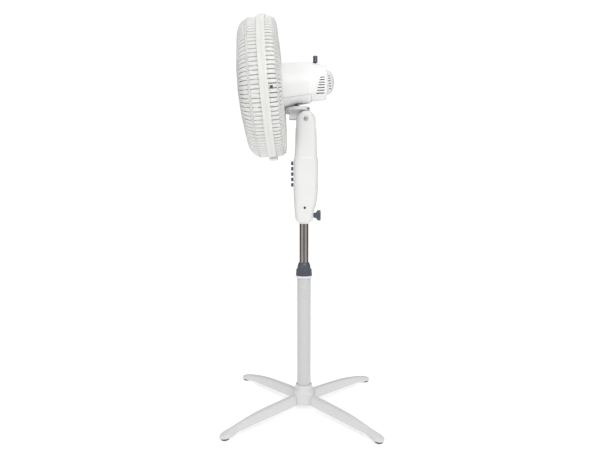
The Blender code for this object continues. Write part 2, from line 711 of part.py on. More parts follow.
# ---------------------------------------------------------------- tilt bracket and oscillation linkage
def make_bracket():
    """A tongue between the neck's ears, a block in front of it, and a round cup that carries the post."""
    tongue = rod_mesh(
        "tilt_bracket", TILT_AXIS - Vector((0.0160, 0, 0)), TILT_AXIS + Vector((0.0160, 0, 0)), 0.0215, 24
    )
    bracket = new_object("tilt_bracket", tongue, GREY, tilt_axis, smooth=30)
    joined = (
        ("bracket_block", (-0.0160, -0.0449, 0.8976), (0.0160, 0.0020, 0.9262)),
        ("bracket_web", (-0.0160, -0.0050, 0.8980), (0.0160, 0.0165, 0.9262)),
    )
    for name, low, high in joined:
        boolean(bracket, new_cutter(name, box_mesh(name, low, high)), "UNION")
    # The cup's rim is higher at the back, where the motor housing's belly leaves room.
    rings = []
    levels = (
        (0.9226, 0.9226, CUP_RADIUS),
        (0.9290, 0.9330, CUP_RADIUS),
        (0.9296, 0.9336, CUP_RADIUS - 0.001),
    )
    for front, back, radius in levels:
        ring = []
        for i in range(32):
            angle = 2 * math.pi * i / 32
            out = Vector((radius * math.cos(angle), radius * math.sin(angle), 0))
            share = (out.y / radius + 1) / 2
            ring.append(SWIVEL + out + Vector((0, 0, front + (back - front) * share)))
        rings.append(ring)
    boolean(bracket, new_cutter("bracket_cup", loft_mesh("bracket_cup", rings)), "UNION")
    lip_angles = [math.radians(-90 + turn) for turn in range(-48, 49, 12)]
    lip_radius = CUP_RADIUS - 0.00005
    lip = [
        [SWIVEL + Vector((lip_radius * math.cos(a), lip_radius * math.sin(a), height)) for a in lip_angles]
        for height in (0.9161, 0.9240)
    ]
    boolean(bracket, new_cutter("bracket_lip", loft_mesh("bracket_lip", lip)), "UNION")
    turntable = rod_mesh("bracket_turntable", (0, SWIVEL.y, 0.9262), (0, SWIVEL.y, 0.9345), 0.0182, 28)
    boolean(bracket, new_cutter("bracket_turntable", turntable), "UNION")
    through = rod_mesh(
        "bracket_bolt_hole", TILT_AXIS - Vector((0.03, 0, 0)), TILT_AXIS + Vector((0.03, 0, 0)), 0.0043, 16
    )
    boolean(bracket, new_cutter("bracket_bolt_hole", through))
    screw_centre = Vector((0, 0.0125, 0.9268))
    inner, outer = screw_centre + Vector((0.0140, 0, 0)), screw_centre + Vector((0.03, 0, 0))
    boolean(bracket, new_cutter("cup_screw_hole", rod_mesh("cup_screw_hole", inner, outer, 0.0016, 12)))
    turned(
        "cup_screw",
        [
            (0, 0.0262),
            (0.0020, 0.0260),
            (0.0024, 0.0252),
            (0.0024, 0.0236),
            (0.0012, 0.0236),
            (0.0012, 0.0150),
            (0, 0.0150),
        ],
        STEEL,
        steps=12,
        parent=tilt_axis,
        frame=Matrix.Translation(screw_centre) @ Matrix.Rotation(math.radians(90), 4, "Y"),
    )
    turned(
        "swivel_post",
        [
            (0, 0.9592),
            (0.0040, 0.9592),
            (0.0045, 0.9586),
            (0.0045, 0.9405),
            (0.0072, 0.9400),
            (0.0075, 0.9348),
            (0, 0.9348),
        ],
        STEEL,
        steps=16,
        parent=tilt_axis,
        frame=along_z(SWIVEL),
    )
    turned(
        "post_clip",
        [(0.0082, 0.9556), (0.0082, 0.9544), (0.0048, 0.9544), (0.0048, 0.9556)],
        STEEL,
        steps=16,
        parent=tilt_axis,
        frame=along_z(SWIVEL),
    )
    turned(
        "link_pin",
        [
            (0, LINK_Z + 0.0026),
            (0.0022, LINK_Z + 0.0026),
            (0.0022, LINK_Z - 0.0010),
            (0.0029, LINK_Z - 0.0012),
            (0.0029, 0.9348),
            (0, 0.9348),
        ],
        STEEL,
        steps=16,
        parent=tilt_axis,
        frame=along_z(LINK_PIN),
    )


def crank_pin_place():
    """Where the crank's pin stands at rest: the throw is square to the line to the link's pin."""
    towards = (LINK_PIN - CRANK_AXIS).normalized()
    square = Vector((-towards.y, towards.x, 0))
    return CRANK_AXIS - square * CRANK_THROW


def make_linkage():
    pin = crank_pin_place()
    crank = turned(
        "crank",
        [
            (0, 0.9830),
            (0.0088, 0.9830),
            (0.0092, 0.9825),
            (0.0092, 0.9770),
            (0.0040, 0.9766),
            (0.0040, LINK_Z + 0.0068),
            (0.0135, LINK_Z + 0.0066),
            (0.0135, LINK_Z + 0.0042),
            (0, LINK_Z + 0.0042),
        ],
        STEEL,
        steps=18,
        parent=crank_axis,
        frame=along_z(CRANK_AXIS),
    )
    foot, head = pin + Vector((0, 0, LINK_Z + 0.0025)), pin + Vector((0, 0, LINK_Z + 0.0055))
    boolean(crank, new_cutter("crank_pin", rod_mesh("crank_pin", foot, head, 0.0026, 14)), "UNION")
    along = (pin - LINK_PIN).normalized()
    length = (pin - LINK_PIN).length
    bar = box_mesh(
        "osc_link",
        (0, -0.0030, LINK_Z),
        (length, 0.0030, LINK_Z + 0.0020),
        frame=Matrix.Translation(LINK_PIN) @ along.to_track_quat("X", "Z").to_matrix().to_4x4(),
    )
    link = new_object("osc_link", bar, STEEL, link_axis, smooth=30)
    for name, centre in (("link_eye_fixed", LINK_PIN), ("link_eye_crank", pin)):
        low, high = Vector((0, 0, LINK_Z - 0.00005)), Vector((0, 0, LINK_Z + 0.00205))
        eye = rod_mesh(name, centre + low, centre + high, 0.0058, 16)
        boolean(link, new_cutter(name, eye), "UNION")
    foot, head = LINK_PIN + Vector((0, 0, 0.95)), LINK_PIN + Vector((0, 0, 0.97))
    boolean(link, new_cutter("link_hole", rod_mesh("link_hole", foot, head, 0.0026, 14)))


def gear_mesh(name, centre, outer, root, teeth, low, high, bore):
    """A spur wheel with plain teeth and a round bore."""
    count = teeth * 4

    def circle(shape, height, radius_at):
        points = []
        for i in range(count):
            angle = 2 * math.pi * (i + 0.5) / count
            out = Vector((math.cos(angle), math.sin(angle), 0)) * radius_at(i)
            points.append(shape.verts.new(centre + out + Vector((0, 0, height))))
        return points

    def build(shape):
        tips = [circle(shape, height, lambda i: outer if i % 4 in (0, 1) else root) for height in (low, high)]
        holes = [circle(shape, height, lambda i: bore) for height in (low, high)]
        for i in range(count):
            j = (i + 1) % count
            for rim, hole in zip(tips, holes):
                shape.faces.new((rim[i], rim[j], hole[j], hole[i]))
            for under, over in (tips, holes):
                shape.faces.new((under[i], under[j], over[j], over[i]))

    return mesh_from(name, build)


def make_gearbox():
    case = new_object(
        "gearbox_case",
        box_mesh("gearbox_case", (-0.0240, 0.0060, 0.9700), (0.0240, 0.0560, 1.0200), 0.0015),
        GREY,
        swivel_axis,
        smooth=30,
    )
    cavity = box_mesh("gear_room", (-0.0215, 0.0085, 0.9725), (0.0215, 0.0535, 1.03))
    boolean(case, new_cutter("gear_room", cavity))
    joined = (
        ("case_web", (-0.0190, -0.0020, 0.9522), (-0.0100, 0.0075, 0.9790)),
        ("case_arm", (-0.0125, -0.0060, 0.9503), (-0.0020, 0.0030, 0.9538)),
        ("case_tail", (-0.0085, -0.0150, 0.9450), (-0.0020, 0.0030, 0.9536)),
    )
    for name, low, high in joined:
        boolean(case, new_cutter(name, box_mesh(name, low, high)), "UNION")
    boss = rod_mesh("case_boss", SWIVEL + Vector((0, 0, 0.9411)), SWIVEL + Vector((0, 0, 0.9541)), 0.0095, 20)
    boolean(case, new_cutter("case_boss", boss), "UNION")
    bores = (
        ("post_bore", SWIVEL + Vector((0, 0, 0.93)), SWIVEL + Vector((0, 0, 0.96)), 0.0048),
        ("crank_bore", CRANK_AXIS + Vector((0, 0, 0.96)), CRANK_AXIS + Vector((0, 0, 0.9750)), 0.0045),
        ("shaft_bore", HEAD @ Vector((0, 0.010, 0)), HEAD @ Vector((0, 0.045, 0)), 0.0050),
    )
    for name, start, end, radius in bores:
        boolean(case, new_cutter(name, rod_mesh(name, start, end, radius, 18)))
    lid = new_object(
        "gearbox_lid",
        box_mesh("gearbox_lid", (-0.0240, 0.0060, 1.0203), (0.0240, 0.0560, 1.0235), 0.0008),
        GREY,
        swivel_axis,
        smooth=30,
    )
    under, over = KNOB_AXIS + Vector((0, 0, 1.01)), KNOB_AXIS + Vector((0, 0, 1.03))
    boolean(lid, new_cutter("rod_hole", rod_mesh("rod_hole", under, over, 0.0030, 16)))
    new_object(
        "worm_wheel",
        gear_mesh("worm_wheel", KNOB_AXIS, 0.0082, 0.0072, 12, 0.9970, 1.0030, 0.0030),
        NYLON,
        wheel_axis,
        smooth=25,
    )
    new_object(
        "drive_pinion",
        gear_mesh("drive_pinion", KNOB_AXIS, 0.0036, 0.0028, 6, 0.9770, 0.9825, 0.0014),
        STEEL,
        pinion_axis,
        smooth=25,
    )


def make_knob():
    """The pull knob that engages the oscillation, with its rod down to the worm wheel."""
    turned(
        "osc_knob",
        [
            (0, 1.0815),
            (0.0060, 1.0815),
            (0.0067, 1.0807),
            (0.0066, 1.0646),
            (0.0074, 1.0640),
            (0.0074, 1.0628),
            (0.0024, 1.0626),
            (0.0024, 1.0060),
            (0, 1.0060),
        ],
        SLATE,
        steps=20,
        parent=knob_axis,
        frame=along_z(KNOB_AXIS),
    )


# ---------------------------------------------------------------- motor housing
# (distance back, height above the shaft, depth below it) of the housing's outline
HOUSING_STATIONS = [
    (HOUSING_FRONT, 0.0697, 0.0628),
    (-0.0300, 0.0706, 0.0596),
    (-0.0050, 0.0701, 0.0549),
    (0.0150, 0.0692, 0.0535),
    (0.0345, 0.0675, 0.0520),
    (0.0420, 0.0664, 0.0468),
    (0.0600, 0.0612, 0.0467),
    (0.0780, 0.0556, 0.0465),
    (0.0845, 0.0542, 0.0445),
    (0.0868, 0.0505, 0.0410),
]


def housing_ring(back, above, below, inset=0.0, count=24):
    """A section of the housing: a half circle above the shaft and a shallower half below it."""
    above, below = above - inset, below - inset
    side = (above + below) / 2
    points = []
    for i in range(count):
        angle = 2 * math.pi * i / count
        across = side * math.cos(angle)
        height = (above if math.sin(angle) > 0 else below) * math.sin(angle)
        lean = REAR_RAKE * height * min(1.0, max(0.0, back / 0.07))
        points.append(Vector((across, back + lean, height)))
    return points


def make_housing():
    outer = [housing_ring(*station) for station in HOUSING_STATIONS]
    inner = [housing_ring(HOUSING_FRONT - 0.01, *HOUSING_STATIONS[0][1:], inset=WALL)]
    inner += [housing_ring(*station, inset=WALL) for station in HOUSING_STATIONS[:-2]]
    inner.append(housing_ring(0.0835, 0.0500, 0.0430, inset=WALL))
    room = new_cutter("housing_room", loft_mesh("housing_room", inner, frame=HEAD))
    knob_low, knob_high = KNOB_AXIS + Vector((0, 0, 1.03)), KNOB_AXIS + Vector((0, 0, 1.09))
    knob_hole = new_cutter("knob_hole", rod_mesh("knob_hole", knob_low, knob_high, 0.0034, 14))
    cap_start, cap_end = HEAD @ Vector((0, 0.070, CAP_RISE)), HEAD @ Vector((0, 0.10, CAP_RISE))
    cap_hole = new_cutter("cap_hole", rod_mesh("cap_hole", cap_start, cap_end, 0.0290, 28))
    seam = HEAD @ Matrix.Translation((0, 0, -0.0353)) @ Matrix.Rotation(SEAM_SLOPE, 4, "X")
    corner = (-0.09, -0.09, -0.08)
    belly_room = new_cutter("belly_room", box_mesh("belly_room", corner, (0.09, 0.0385, 0), frame=seam))
    belly = new_cutter("belly", box_mesh("belly", corner, (0.09, 0.0385 - GAP, -GAP), frame=seam))
    swivel_low, swivel_high = SWIVEL + Vector((0, 0, 0.92)), SWIVEL + Vector((0, 0, 0.955))
    swivel_hole = new_cutter("swivel_hole", rod_mesh("swivel_hole", swivel_low, swivel_high, 0.0190, 24))
    slot_low, slot_high = (-0.0140, -0.0150, 0.92), (-0.0008, 0.0065, 0.955)
    arm_slot = new_cutter("arm_slot", box_mesh("arm_slot", slot_low, slot_high))
    top_skin = loft_mesh("motor_cover_top", outer, frame=HEAD)
    top = new_object("motor_cover_top", top_skin, WHITE, swivel_axis)
    for cutter in (belly_room, room, cap_hole, knob_hole):
        boolean(top, cutter)
    make_side_vents(top)
    bottom_skin = loft_mesh("motor_cover_bottom", outer, frame=HEAD)
    bottom = new_object("motor_cover_bottom", bottom_skin, WHITE, swivel_axis)
    boolean(bottom, belly, "INTERSECT")
    boolean(bottom, room)
    boolean(bottom, swivel_hole)
    boolean(bottom, arm_slot)
    make_rear_cap()


def make_side_vents(cover):
    """Level slots on both sides near the rear, each a little longer than the one above it."""
    for side in (-1, 1):
        for row in range(VENT_COUNT):
            height = 0.0114 - VENT_PITCH * row
            low = min(side * 0.026, side * 0.066)
            slot = box_mesh(
                f"vent_{row}_{side}",
                (low, 0.0670 - 0.0022 * row, height - 0.0013),
                (low + 0.040, 0.0812 - 0.0006 * row, height + 0.0013),
                frame=HEAD,
            )
            boolean(cover, new_cutter(f"vent_{row}_{side}", slot))


def make_rear_cap():
    """The domed cap on the housing's rear face, hollow and open towards the gearbox."""
    lean = math.atan(REAR_RAKE)
    place = HEAD @ Matrix.Translation((0, 0.0874, CAP_RISE)) @ Matrix.Rotation(-math.pi / 2 - lean, 4, "X")
    radius, rise = 0.0355, 0.0235
    outer = [(0, rise)]
    for angle in (70, 52, 34, 16, 0):
        turn = math.radians(angle)
        outer.append((radius * math.cos(turn), rise * math.sin(turn) ** 0.9))
    inner = []
    for angle in (0, 30, 60):
        turn = math.radians(angle)
        inner.append(((radius - WALL) * math.cos(turn), (rise - WALL) * math.sin(turn)))
    inner.append((0, rise - WALL))
    turned("rear_cap", outer + inner, WHITE, steps=24, parent=swivel_axis, frame=place)


# ---------------------------------------------------------------- motor and blade
def make_motor():
    """Along the shaft, heights run forwards: the front plate, the stator and the rotor."""
    plate_rings = [
        housing_ring(-0.0490, 0.0697, 0.0628, 0.0060),
        housing_ring(-0.0470, 0.0697, 0.0628, 0.0040),
        housing_ring(-0.0395, 0.0697, 0.0610, 0.0040),
    ]
    plate_skin = loft_mesh("motor_front_plate", plate_rings, frame=HEAD)
    plate = new_object("motor_front_plate", plate_skin, GREY, swivel_axis)
    hollow_rings = [housing_ring(back, 0.0697, 0.0610, 0.0065) for back in (-0.0450, -0.0300)]
    boss = rod_mesh("plate_boss", HEAD @ Vector((0, -0.0600, 0)), HEAD @ Vector((0, -0.0460, 0)), 0.0168, 28)
    bore = rod_mesh("plate_bore", HEAD @ Vector((0, -0.0700, 0)), HEAD @ Vector((0, -0.0300, 0)), 0.0048, 16)
    boolean(plate, new_cutter("plate_hollow", loft_mesh("plate_hollow", hollow_rings, frame=HEAD)))
    boolean(plate, new_cutter("plate_boss", boss), "UNION")
    boolean(plate, new_cutter("plate_bore", bore))
    turned(
        "stator",
        [(0.0320, 0.0360), (0.0320, 0.0100), (0.0197, 0.0100), (0.0197, 0.0360)],
        COPPER,
        steps=24,
        parent=swivel_axis,
        frame=SHAFT,
    )
    turned(
        "rotor_core",
        [(0.0190, 0.0350), (0.0190, 0.0110), (0.0043, 0.0110), (0.0043, 0.0350)],
        COPPER,
        steps=24,
        parent=rotor_axis,
        frame=SHAFT,
    )
    turned(
        "motor_shaft",
        [
            (0, 0.1080),
            (0.0036, 0.1080),
            (0.0040, 0.1075),
            (0.0040, -0.0360),
            (0.0043, -0.0365),
            (0.0043, -0.0680),
            (0, -0.0680),
        ],
        STEEL,
        steps=16,
        parent=rotor_axis,
        frame=SHAFT,
    )


def blade_point(radius, chord):
    """A point on the blade's face: chord runs from 0 at the leading edge to 1 at the trailing one."""
    out = (radius - HUB_RADIUS) / (BLADE_RADIUS - HUB_RADIUS)
    span = math.radians(78 + 18 * out)
    sweep = math.radians(34) * out
    angle = sweep + span * (chord - 0.5)
    depth = 0.026 + 0.018 * (1 - out)
    camber = 0.006 * math.sin(math.pi * chord)
    forward = 0.0835 + depth * (0.5 - chord) + camber
    return Vector((radius * math.cos(angle), radius * math.sin(angle), forward))


def make_blade():
    """A cupped hub and three swept blades, joined into one moulding."""
    hub = turned(
        "fan_blade",
        [
            (0.0265, HUB_FRONT),
            (0.0290, HUB_FRONT - 0.0010),
            (HUB_RADIUS, HUB_FRONT - 0.0040),
            (HUB_RADIUS, HUB_BACK),
            (HUB_RADIUS - WALL, HUB_BACK),
            (HUB_RADIUS - WALL, HUB_FRONT - 0.0060),
            (0.0080, HUB_FRONT - 0.0060),
            (0.0080, HUB_BACK + 0.0040),
            (0.0043, HUB_BACK + 0.0040),
            (0.0043, HUB_FRONT - 0.0030),
            (0.0220, HUB_FRONT - 0.0030),
        ],
        GUARD,
        steps=24,
        parent=rotor_axis,
        frame=SHAFT,
    )
    radii = [HUB_RADIUS - 0.0012, 0.060, 0.095, 0.130, 0.160, BLADE_RADIUS]
    chords = [i / 5 for i in range(6)]
    for number in range(BLADE_COUNT):

        def build(shape, number=number):
            turn = SHAFT @ Matrix.Rotation(2 * math.pi * number / BLADE_COUNT, 4, "Z")
            grid = []
            for radius in radii:
                pinch = max(0.0, (radius - 0.150) / (BLADE_RADIUS - 0.150)) ** 2 * 0.18
                row = [blade_point(radius, pinch + (1 - 2 * pinch) * chord) for chord in chords]
                grid.append([shape.verts.new(turn @ point) for point in row])
            for inner, outer in zip(grid, grid[1:]):
                for i in range(len(chords) - 1):
                    shape.faces.new((inner[i], outer[i], outer[i + 1], inner[i + 1]))
            shape.normal_update()
            bmesh.ops.solidify(shape, geom=shape.faces[:], thickness=0.0018)

        mesh = mesh_from(f"blade_{number + 1}", build)
        boolean(hub, new_cutter(f"blade_{number + 1}", mesh), "UNION")
    turned(
        "blade_nut",
        [
            (0, 0.1130),
            (0.0120, 0.1120),
            (0.0165, 0.1085),
            (0.0175, HUB_FRONT + GAP),
            (0.0043, HUB_FRONT + GAP),
            (0.0043, 0.1084),
            (0, 0.1084),
        ],
        SLATE,
        steps=24,
        parent=rotor_axis,
        frame=SHAFT,
    )


# ---------------------------------------------------------------- guards
def arc(centre_r, centre_y, radius, start, end, count):
    """Points (radius from the shaft, distance back) on a round corner."""
    points = []
    for i in range(count):
        angle = math.radians(start + (end - start) * i / (count - 1))
        points.append((centre_r + radius * math.cos(angle), centre_y + radius * math.sin(angle)))
    return points


def cage(name, outline, solid_rings, parent):
    """A guard: the outline turned about the shaft, with every second sector cut out between rings."""
    mesh = bpy.data.meshes.new(name)
    shape = bmesh.new()
    step = 2 * math.pi / GUARD_SECTORS
    rows = []
    for i in range(GUARD_SECTORS):
        turn = HEAD @ Matrix.Rotation(i * step, 4, "Y")
        rows.append([shape.verts.new(turn @ Vector((radius, back, 0))) for radius, back in outline])
    for i, row in enumerate(rows):
        following = rows[(i + 1) % GUARD_SECTORS]
        for k in range(len(outline) - 1):
            if i % 2 and k not in solid_rings:
                continue
            shape.faces.new((row[k], row[k + 1], following[k + 1], following[k]))
    bmesh.ops.recalc_face_normals(shape, faces=shape.faces)
    shape.to_mesh(mesh)
    shape.free()
    guard = new_object(name, mesh, GUARD, parent, smooth=50)
    skin = guard.modifiers.new("thickness", "SOLIDIFY")
    skin.thickness = 0.0025
    skin.offset = 0
    skin.use_even_offset = True
    return guard


def make_guards():
    rim = GUARD_RADIUS - 0.0060
    front = [
        (0.0280, FACE_Y),
        (0.0420, FACE_Y + 0.0010),
        (0.1050, FACE_Y + 0.0065),
        (0.1120, FACE_Y + 0.0073),
        *arc(rim - 0.040, FACE_Y + 0.0557, 0.040, -90, -18, 4),
        (rim, FACE_Y + 0.0492),
        (rim, BAND_Y - 0.0090),
        (rim, BAND_Y - 0.0030),
    ]
    # Rings: the centre, the middle of the face, the corner and the rim
    cage("front_guard", front, {0, 2, 7, 9}, swivel_axis)
    rear = [
        (rim, BAND_Y + 0.0030),
        (rim, BAND_Y + 0.0090),
        *arc(rim - 0.022, BAND_Y + 0.0192, 0.022, 0, 90, 4),
        (0.1330, BAND_Y + 0.0434),
        (0.1270, BAND_Y + 0.0436),
        (0.1000, BAND_Y + 0.0445),
        (0.0940, BAND_Y + 0.0440),
        (0.0880, -0.0507),
        (0.0820, -0.0520),
        (0.0660, -0.0523),
        (0.0184, -0.0523),
    ]
    # Rings: the rim, the middle of the back, the brim of the dish and the plate at the centre
    cage("rear_guard", rear, {0, 6, 8, 12}, swivel_axis)
    half = 0.0115
    turned(
        "guard_band",
        [
            (GUARD_RADIUS - 0.0006, -BAND_Y + half),
            (GUARD_RADIUS, -BAND_Y + half - 0.0010),
            (GUARD_RADIUS, -BAND_Y - half + 0.0010),
            (GUARD_RADIUS - 0.0006, -BAND_Y - half),
            (GUARD_RADIUS - 0.0032, -BAND_Y - half),
            (GUARD_RADIUS - 0.0032, -BAND_Y + half),
        ],
        GUARD,
        steps=48,
        parent=swivel_axis,
        frame=SHAFT,
    )
    for name, side, rise in (("guard_clip_top", 1, 0.0100), ("guard_clip_bottom", -1, 0.0075)):
        clip = box_mesh(
            name,
            (-0.0150, BAND_Y - 0.0135, GUARD_RADIUS + GAP),
            (0.0150, BAND_Y + 0.0135, GUARD_RADIUS + rise),
            0.0020,
            frame=HEAD @ Matrix.Diagonal((1, 1, side, 1)),
        )
        new_object(name, clip, GUARD, swivel_axis, smooth=30)
    turned(
        "guard_nut",
        [(0.0270, 0.0590), (0.0280, 0.0580), (0.0280, 0.0540), (0.0173, 0.0540), (0.0173, 0.0590)],
        GREY,
        steps=24,
        parent=swivel_axis,
        frame=SHAFT,
    )
    turned(
        "front_badge",
        [
            (0, -FACE_Y + 0.0050),
            (0.0230, -FACE_Y + 0.0045),
            (0.0360, -FACE_Y + 0.0030),
            (0.0370, -FACE_Y + 0.0015),
            (0.0260, -FACE_Y + 0.0020),
            (0.0260, -FACE_Y - 0.0010),
            (0.0240, -FACE_Y - 0.0010),
            (0.0240, -FACE_Y + 0.0025),
            (0, -FACE_Y + 0.0028),
        ],
        GUARD,
        steps=24,
        parent=swivel_axis,
        frame=SHAFT,
    )


# ---------------------------------------------------------------- the whole fan
make_hub()
for leg_number, leg_angle in enumerate(LEG_ANGLES, 1):
    make_leg(leg_number, leg_angle)
make_pole()
make_collar()
make_tube()
make_neck()
make_controls()
make_neck_fixings()
make_bracket()
make_linkage()
make_gearbox()
make_knob()
make_housing()
make_motor()
make_blade()
make_guards()
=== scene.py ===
"""Pedestal fan: the looks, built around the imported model. Metres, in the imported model's frame."""

import json
from math import asin, atan, copysign, cos, pi, radians, sin, sqrt

import bmesh
import bpy
from mathutils import Matrix, Vector


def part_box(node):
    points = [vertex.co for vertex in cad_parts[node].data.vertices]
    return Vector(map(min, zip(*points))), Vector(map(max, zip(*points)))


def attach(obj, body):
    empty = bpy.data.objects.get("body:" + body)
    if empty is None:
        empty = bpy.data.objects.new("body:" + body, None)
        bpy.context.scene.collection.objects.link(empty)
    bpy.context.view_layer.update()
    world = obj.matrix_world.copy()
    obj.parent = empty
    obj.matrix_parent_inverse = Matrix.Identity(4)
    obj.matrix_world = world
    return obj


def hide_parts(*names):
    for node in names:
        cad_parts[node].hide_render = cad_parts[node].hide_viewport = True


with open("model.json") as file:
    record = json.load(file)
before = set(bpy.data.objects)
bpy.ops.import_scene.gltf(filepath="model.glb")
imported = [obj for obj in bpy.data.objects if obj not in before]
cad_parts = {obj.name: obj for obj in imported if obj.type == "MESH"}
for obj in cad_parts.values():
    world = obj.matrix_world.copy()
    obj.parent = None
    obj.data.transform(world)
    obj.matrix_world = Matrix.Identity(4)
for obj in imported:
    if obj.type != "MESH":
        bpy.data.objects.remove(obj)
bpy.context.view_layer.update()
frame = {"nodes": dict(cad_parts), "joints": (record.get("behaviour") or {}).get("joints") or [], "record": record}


def add_object(name, data):
    """A new object in the scene."""
    made = bpy.data.objects.new(name, data)
    bpy.context.scene.collection.objects.link(made)
    return made


# ---------------------------------------------------------------- camera
CAMERA_PLACE = (1.528, -0.0122, 0.703)
CAMERA_DROOP = 4.7  # degrees below level
LENS = 29.9

camera_data = bpy.data.cameras.new("camera")
camera_data.lens = LENS
camera_data.sensor_width = 36.0
camera = add_object("camera", camera_data)
camera.location = CAMERA_PLACE
camera.rotation_euler = (radians(90 - CAMERA_DROOP), 0, radians(90))
bpy.context.scene.camera = camera

# ---------------------------------------------------------------- shared dimensions
WALL = 0.0025
JOINTS = {joint["name"]: joint for joint in frame["joints"]}
HEAD_ORIGIN = Vector(JOINTS["rotor_spin"]["pos_m"])
HEAD_DROOP = asin(-JOINTS["rotor_spin"]["axis"][2])
SWIVEL = Vector((0, HEAD_ORIGIN.y, 0))
HEAD = Matrix.Translation(HEAD_ORIGIN) @ Matrix.Rotation(HEAD_DROOP, 4, "X")
SHAFT = HEAD @ Matrix.Rotation(radians(90), 4, "X")  # local +Z runs forwards along the shaft
TILT_AXIS = Vector(JOINTS["head_tilt"]["pos_m"])

BASE_TURN = -2.2
LEG_ANGLES = [BASE_TURN + quarter for quarter in (45, 135, 225, 315)]
LEG_REACH = 0.2990
LEG_END_RADIUS = 0.0155
LEG_ROOT = 0.0403
LEG_PADDLE = 0.2580
LEG_TOP = 0.0480
LEG_HALF = 0.0080
HUB_FACE = 0.0330
HUB_CORNER = 0.0400
HUB_BOTTOM = 0.0170
HUB_TOP = 0.0760
SOCKET_LOW = 0.0195
SOCKET_HIGH = 0.0455

POLE_TOP = 0.4143
POLE_WALL = 0.00125
TUBE_WALL = 0.0014
TUBE_BORE = 0.0139
NECK_BOTTOM = 0.5817
FORK_HALF = 0.0165
FORK_FLOOR = 0.8705
NECK_TOP_CENTRE = 0.8860
NECK_TOP_RISE = 0.0350
NECK_TOP_HALF = 0.0310
CLAMP_Z = JOINTS["clamp_turn"]["pos_m"][2]
KNOB_AXIS = Vector((0.0130, 0.0331, 0))

HOUSING_FRONT = -0.0465
REAR_RAKE = 0.055
SEAM_SLOPE = atan(0.09)
SEAM_DROP = 0.0353
VENT_PITCH = 0.00715
CAP_RISE = 0.0050
BAND_Y = -0.0892
FACE_Y = -0.1732
GUARD_RADIUS = 0.2075
RIM = GUARD_RADIUS - 0.0060
BAND_HALF = 0.0115
FRONT_RIBS = 106
FRONT_RIB_SIZE = (0.0101, 0.0026)
REAR_RIBS = 104
REAR_RIB_SIZE = (0.0096, 0.0028)
CATCH_TURN = 9.4
CUP_RADIUS = 0.0380
BRACKET_TOP = 0.9262
BLADE_COUNT = 3
BLADE_RADIUS = 0.185


# ---------------------------------------------------------------- materials
def fill(node, values):
    """Sets a node's inputs by name."""
    for name, value in values.items():
        node.inputs[name].default_value = value


class Shader:
    """A Principled material and short ways to wire detail into it."""

    def __init__(self, name, colour, roughness, metallic=0.0):
        self.material = bpy.data.materials.new(name)
        self.material.use_nodes = True
        self.nodes = self.material.node_tree.nodes
        self.links = self.material.node_tree.links
        self.shader = self.nodes["Principled BSDF"]
        fill(self.shader, {"Base Color": (*colour, 1), "Roughness": roughness, "Metallic": metallic})
        self.colour = colour
        self.place = self.nodes.new("ShaderNodeTexCoord").outputs["Object"]

    def stretched(self, x, y, z):
        """Object coordinates scaled along each axis, for grain with a direction."""
        mapping = self.nodes.new("ShaderNodeMapping")
        mapping.inputs["Scale"].default_value = (x, y, z)
        self.links.new(self.place, mapping.inputs["Vector"])
        return mapping.outputs["Vector"]

    def noise(self, scale, detail=3.0, place=None, roughness=0.5):
        texture = self.nodes.new("ShaderNodeTexNoise")
        fill(texture, {"Scale": scale, "Detail": detail, "Roughness": roughness})
        self.links.new(place or self.place, texture.inputs["Vector"])
        return texture.outputs["Fac"]

    def spread(self, value, low, high):
        """Maps the middle of a texture's values, 0.3 to 0.7, to a range."""
        mapped = self.nodes.new("ShaderNodeMapRange")
        fill(mapped, {"From Min": 0.3, "From Max": 0.7, "To Min": low, "To Max": high})
        self.links.new(value, mapped.inputs["Value"])
        return mapped.outputs["Result"]

    def mottle(self, value, other, share=1.0):
        """Varies the base colour between its own and another by a noise value."""
        mix = self.nodes.new("ShaderNodeMix")
        mix.data_type = "RGBA"
        fill(mix, {"A": (*self.colour, 1), "B": (*other, 1)})
        self.links.new(self.spread(value, 0.0, share), mix.inputs["Factor"])
        self.links.new(mix.outputs["Result"], self.shader.inputs["Base Color"])

    def vary_roughness(self, value, low, high):
        self.links.new(self.spread(value, low, high), self.shader.inputs["Roughness"])

    def bump(self, *layers):
        """Layers are (height value, strength, distance in metres)."""
        normal = None
        for value, strength, distance in layers:
            bump = self.nodes.new("ShaderNodeBump")
            fill(bump, {"Strength": strength, "Distance": distance})
            self.links.new(value, bump.inputs["Height"])
            if normal:
                self.links.new(normal, bump.inputs["Normal"])
            normal = bump.outputs["Normal"]
        self.links.new(normal, self.shader.inputs["Normal"])


def moulded(name, colour, shade, roughness, grain=900, grain_depth=0.00003, milky=0.0):
    """Moulded plastic: a fine grain, a slow mottle and handling marks.

    Milky plastic lets some light through where it is thin."""
    look = Shader(name, colour, roughness)
    look.mottle(look.noise(9, 4), shade, 0.8)
    look.vary_roughness(look.noise(34, 6, roughness=0.65), roughness - 0.07, roughness + 0.10)
    look.bump((look.noise(6, 2), 0.10, 0.0006), (look.noise(grain, 2), 0.25, grain_depth))
    fill(look.shader, {"IOR": 1.50, "Subsurface Weight": milky})
    if milky:
        fill(look.shader, {"Subsurface Radius": (1, 1, 0.95), "Subsurface Scale": 0.008})
    return look.material


def enamelled(name, colour, shade):
    """Stoved enamel on steel: a clear gloss over a faint orange peel."""
    look = Shader(name, colour, 0.30)
    look.mottle(look.noise(5, 2), shade, 0.6)
    look.vary_roughness(look.noise(18, 3), 0.26, 0.34)
    look.bump((look.noise(260, 2), 0.22, 0.00005))
    fill(look.shader, {"Coat Weight": 0.35, "Coat Roughness": 0.12})
    return look.material


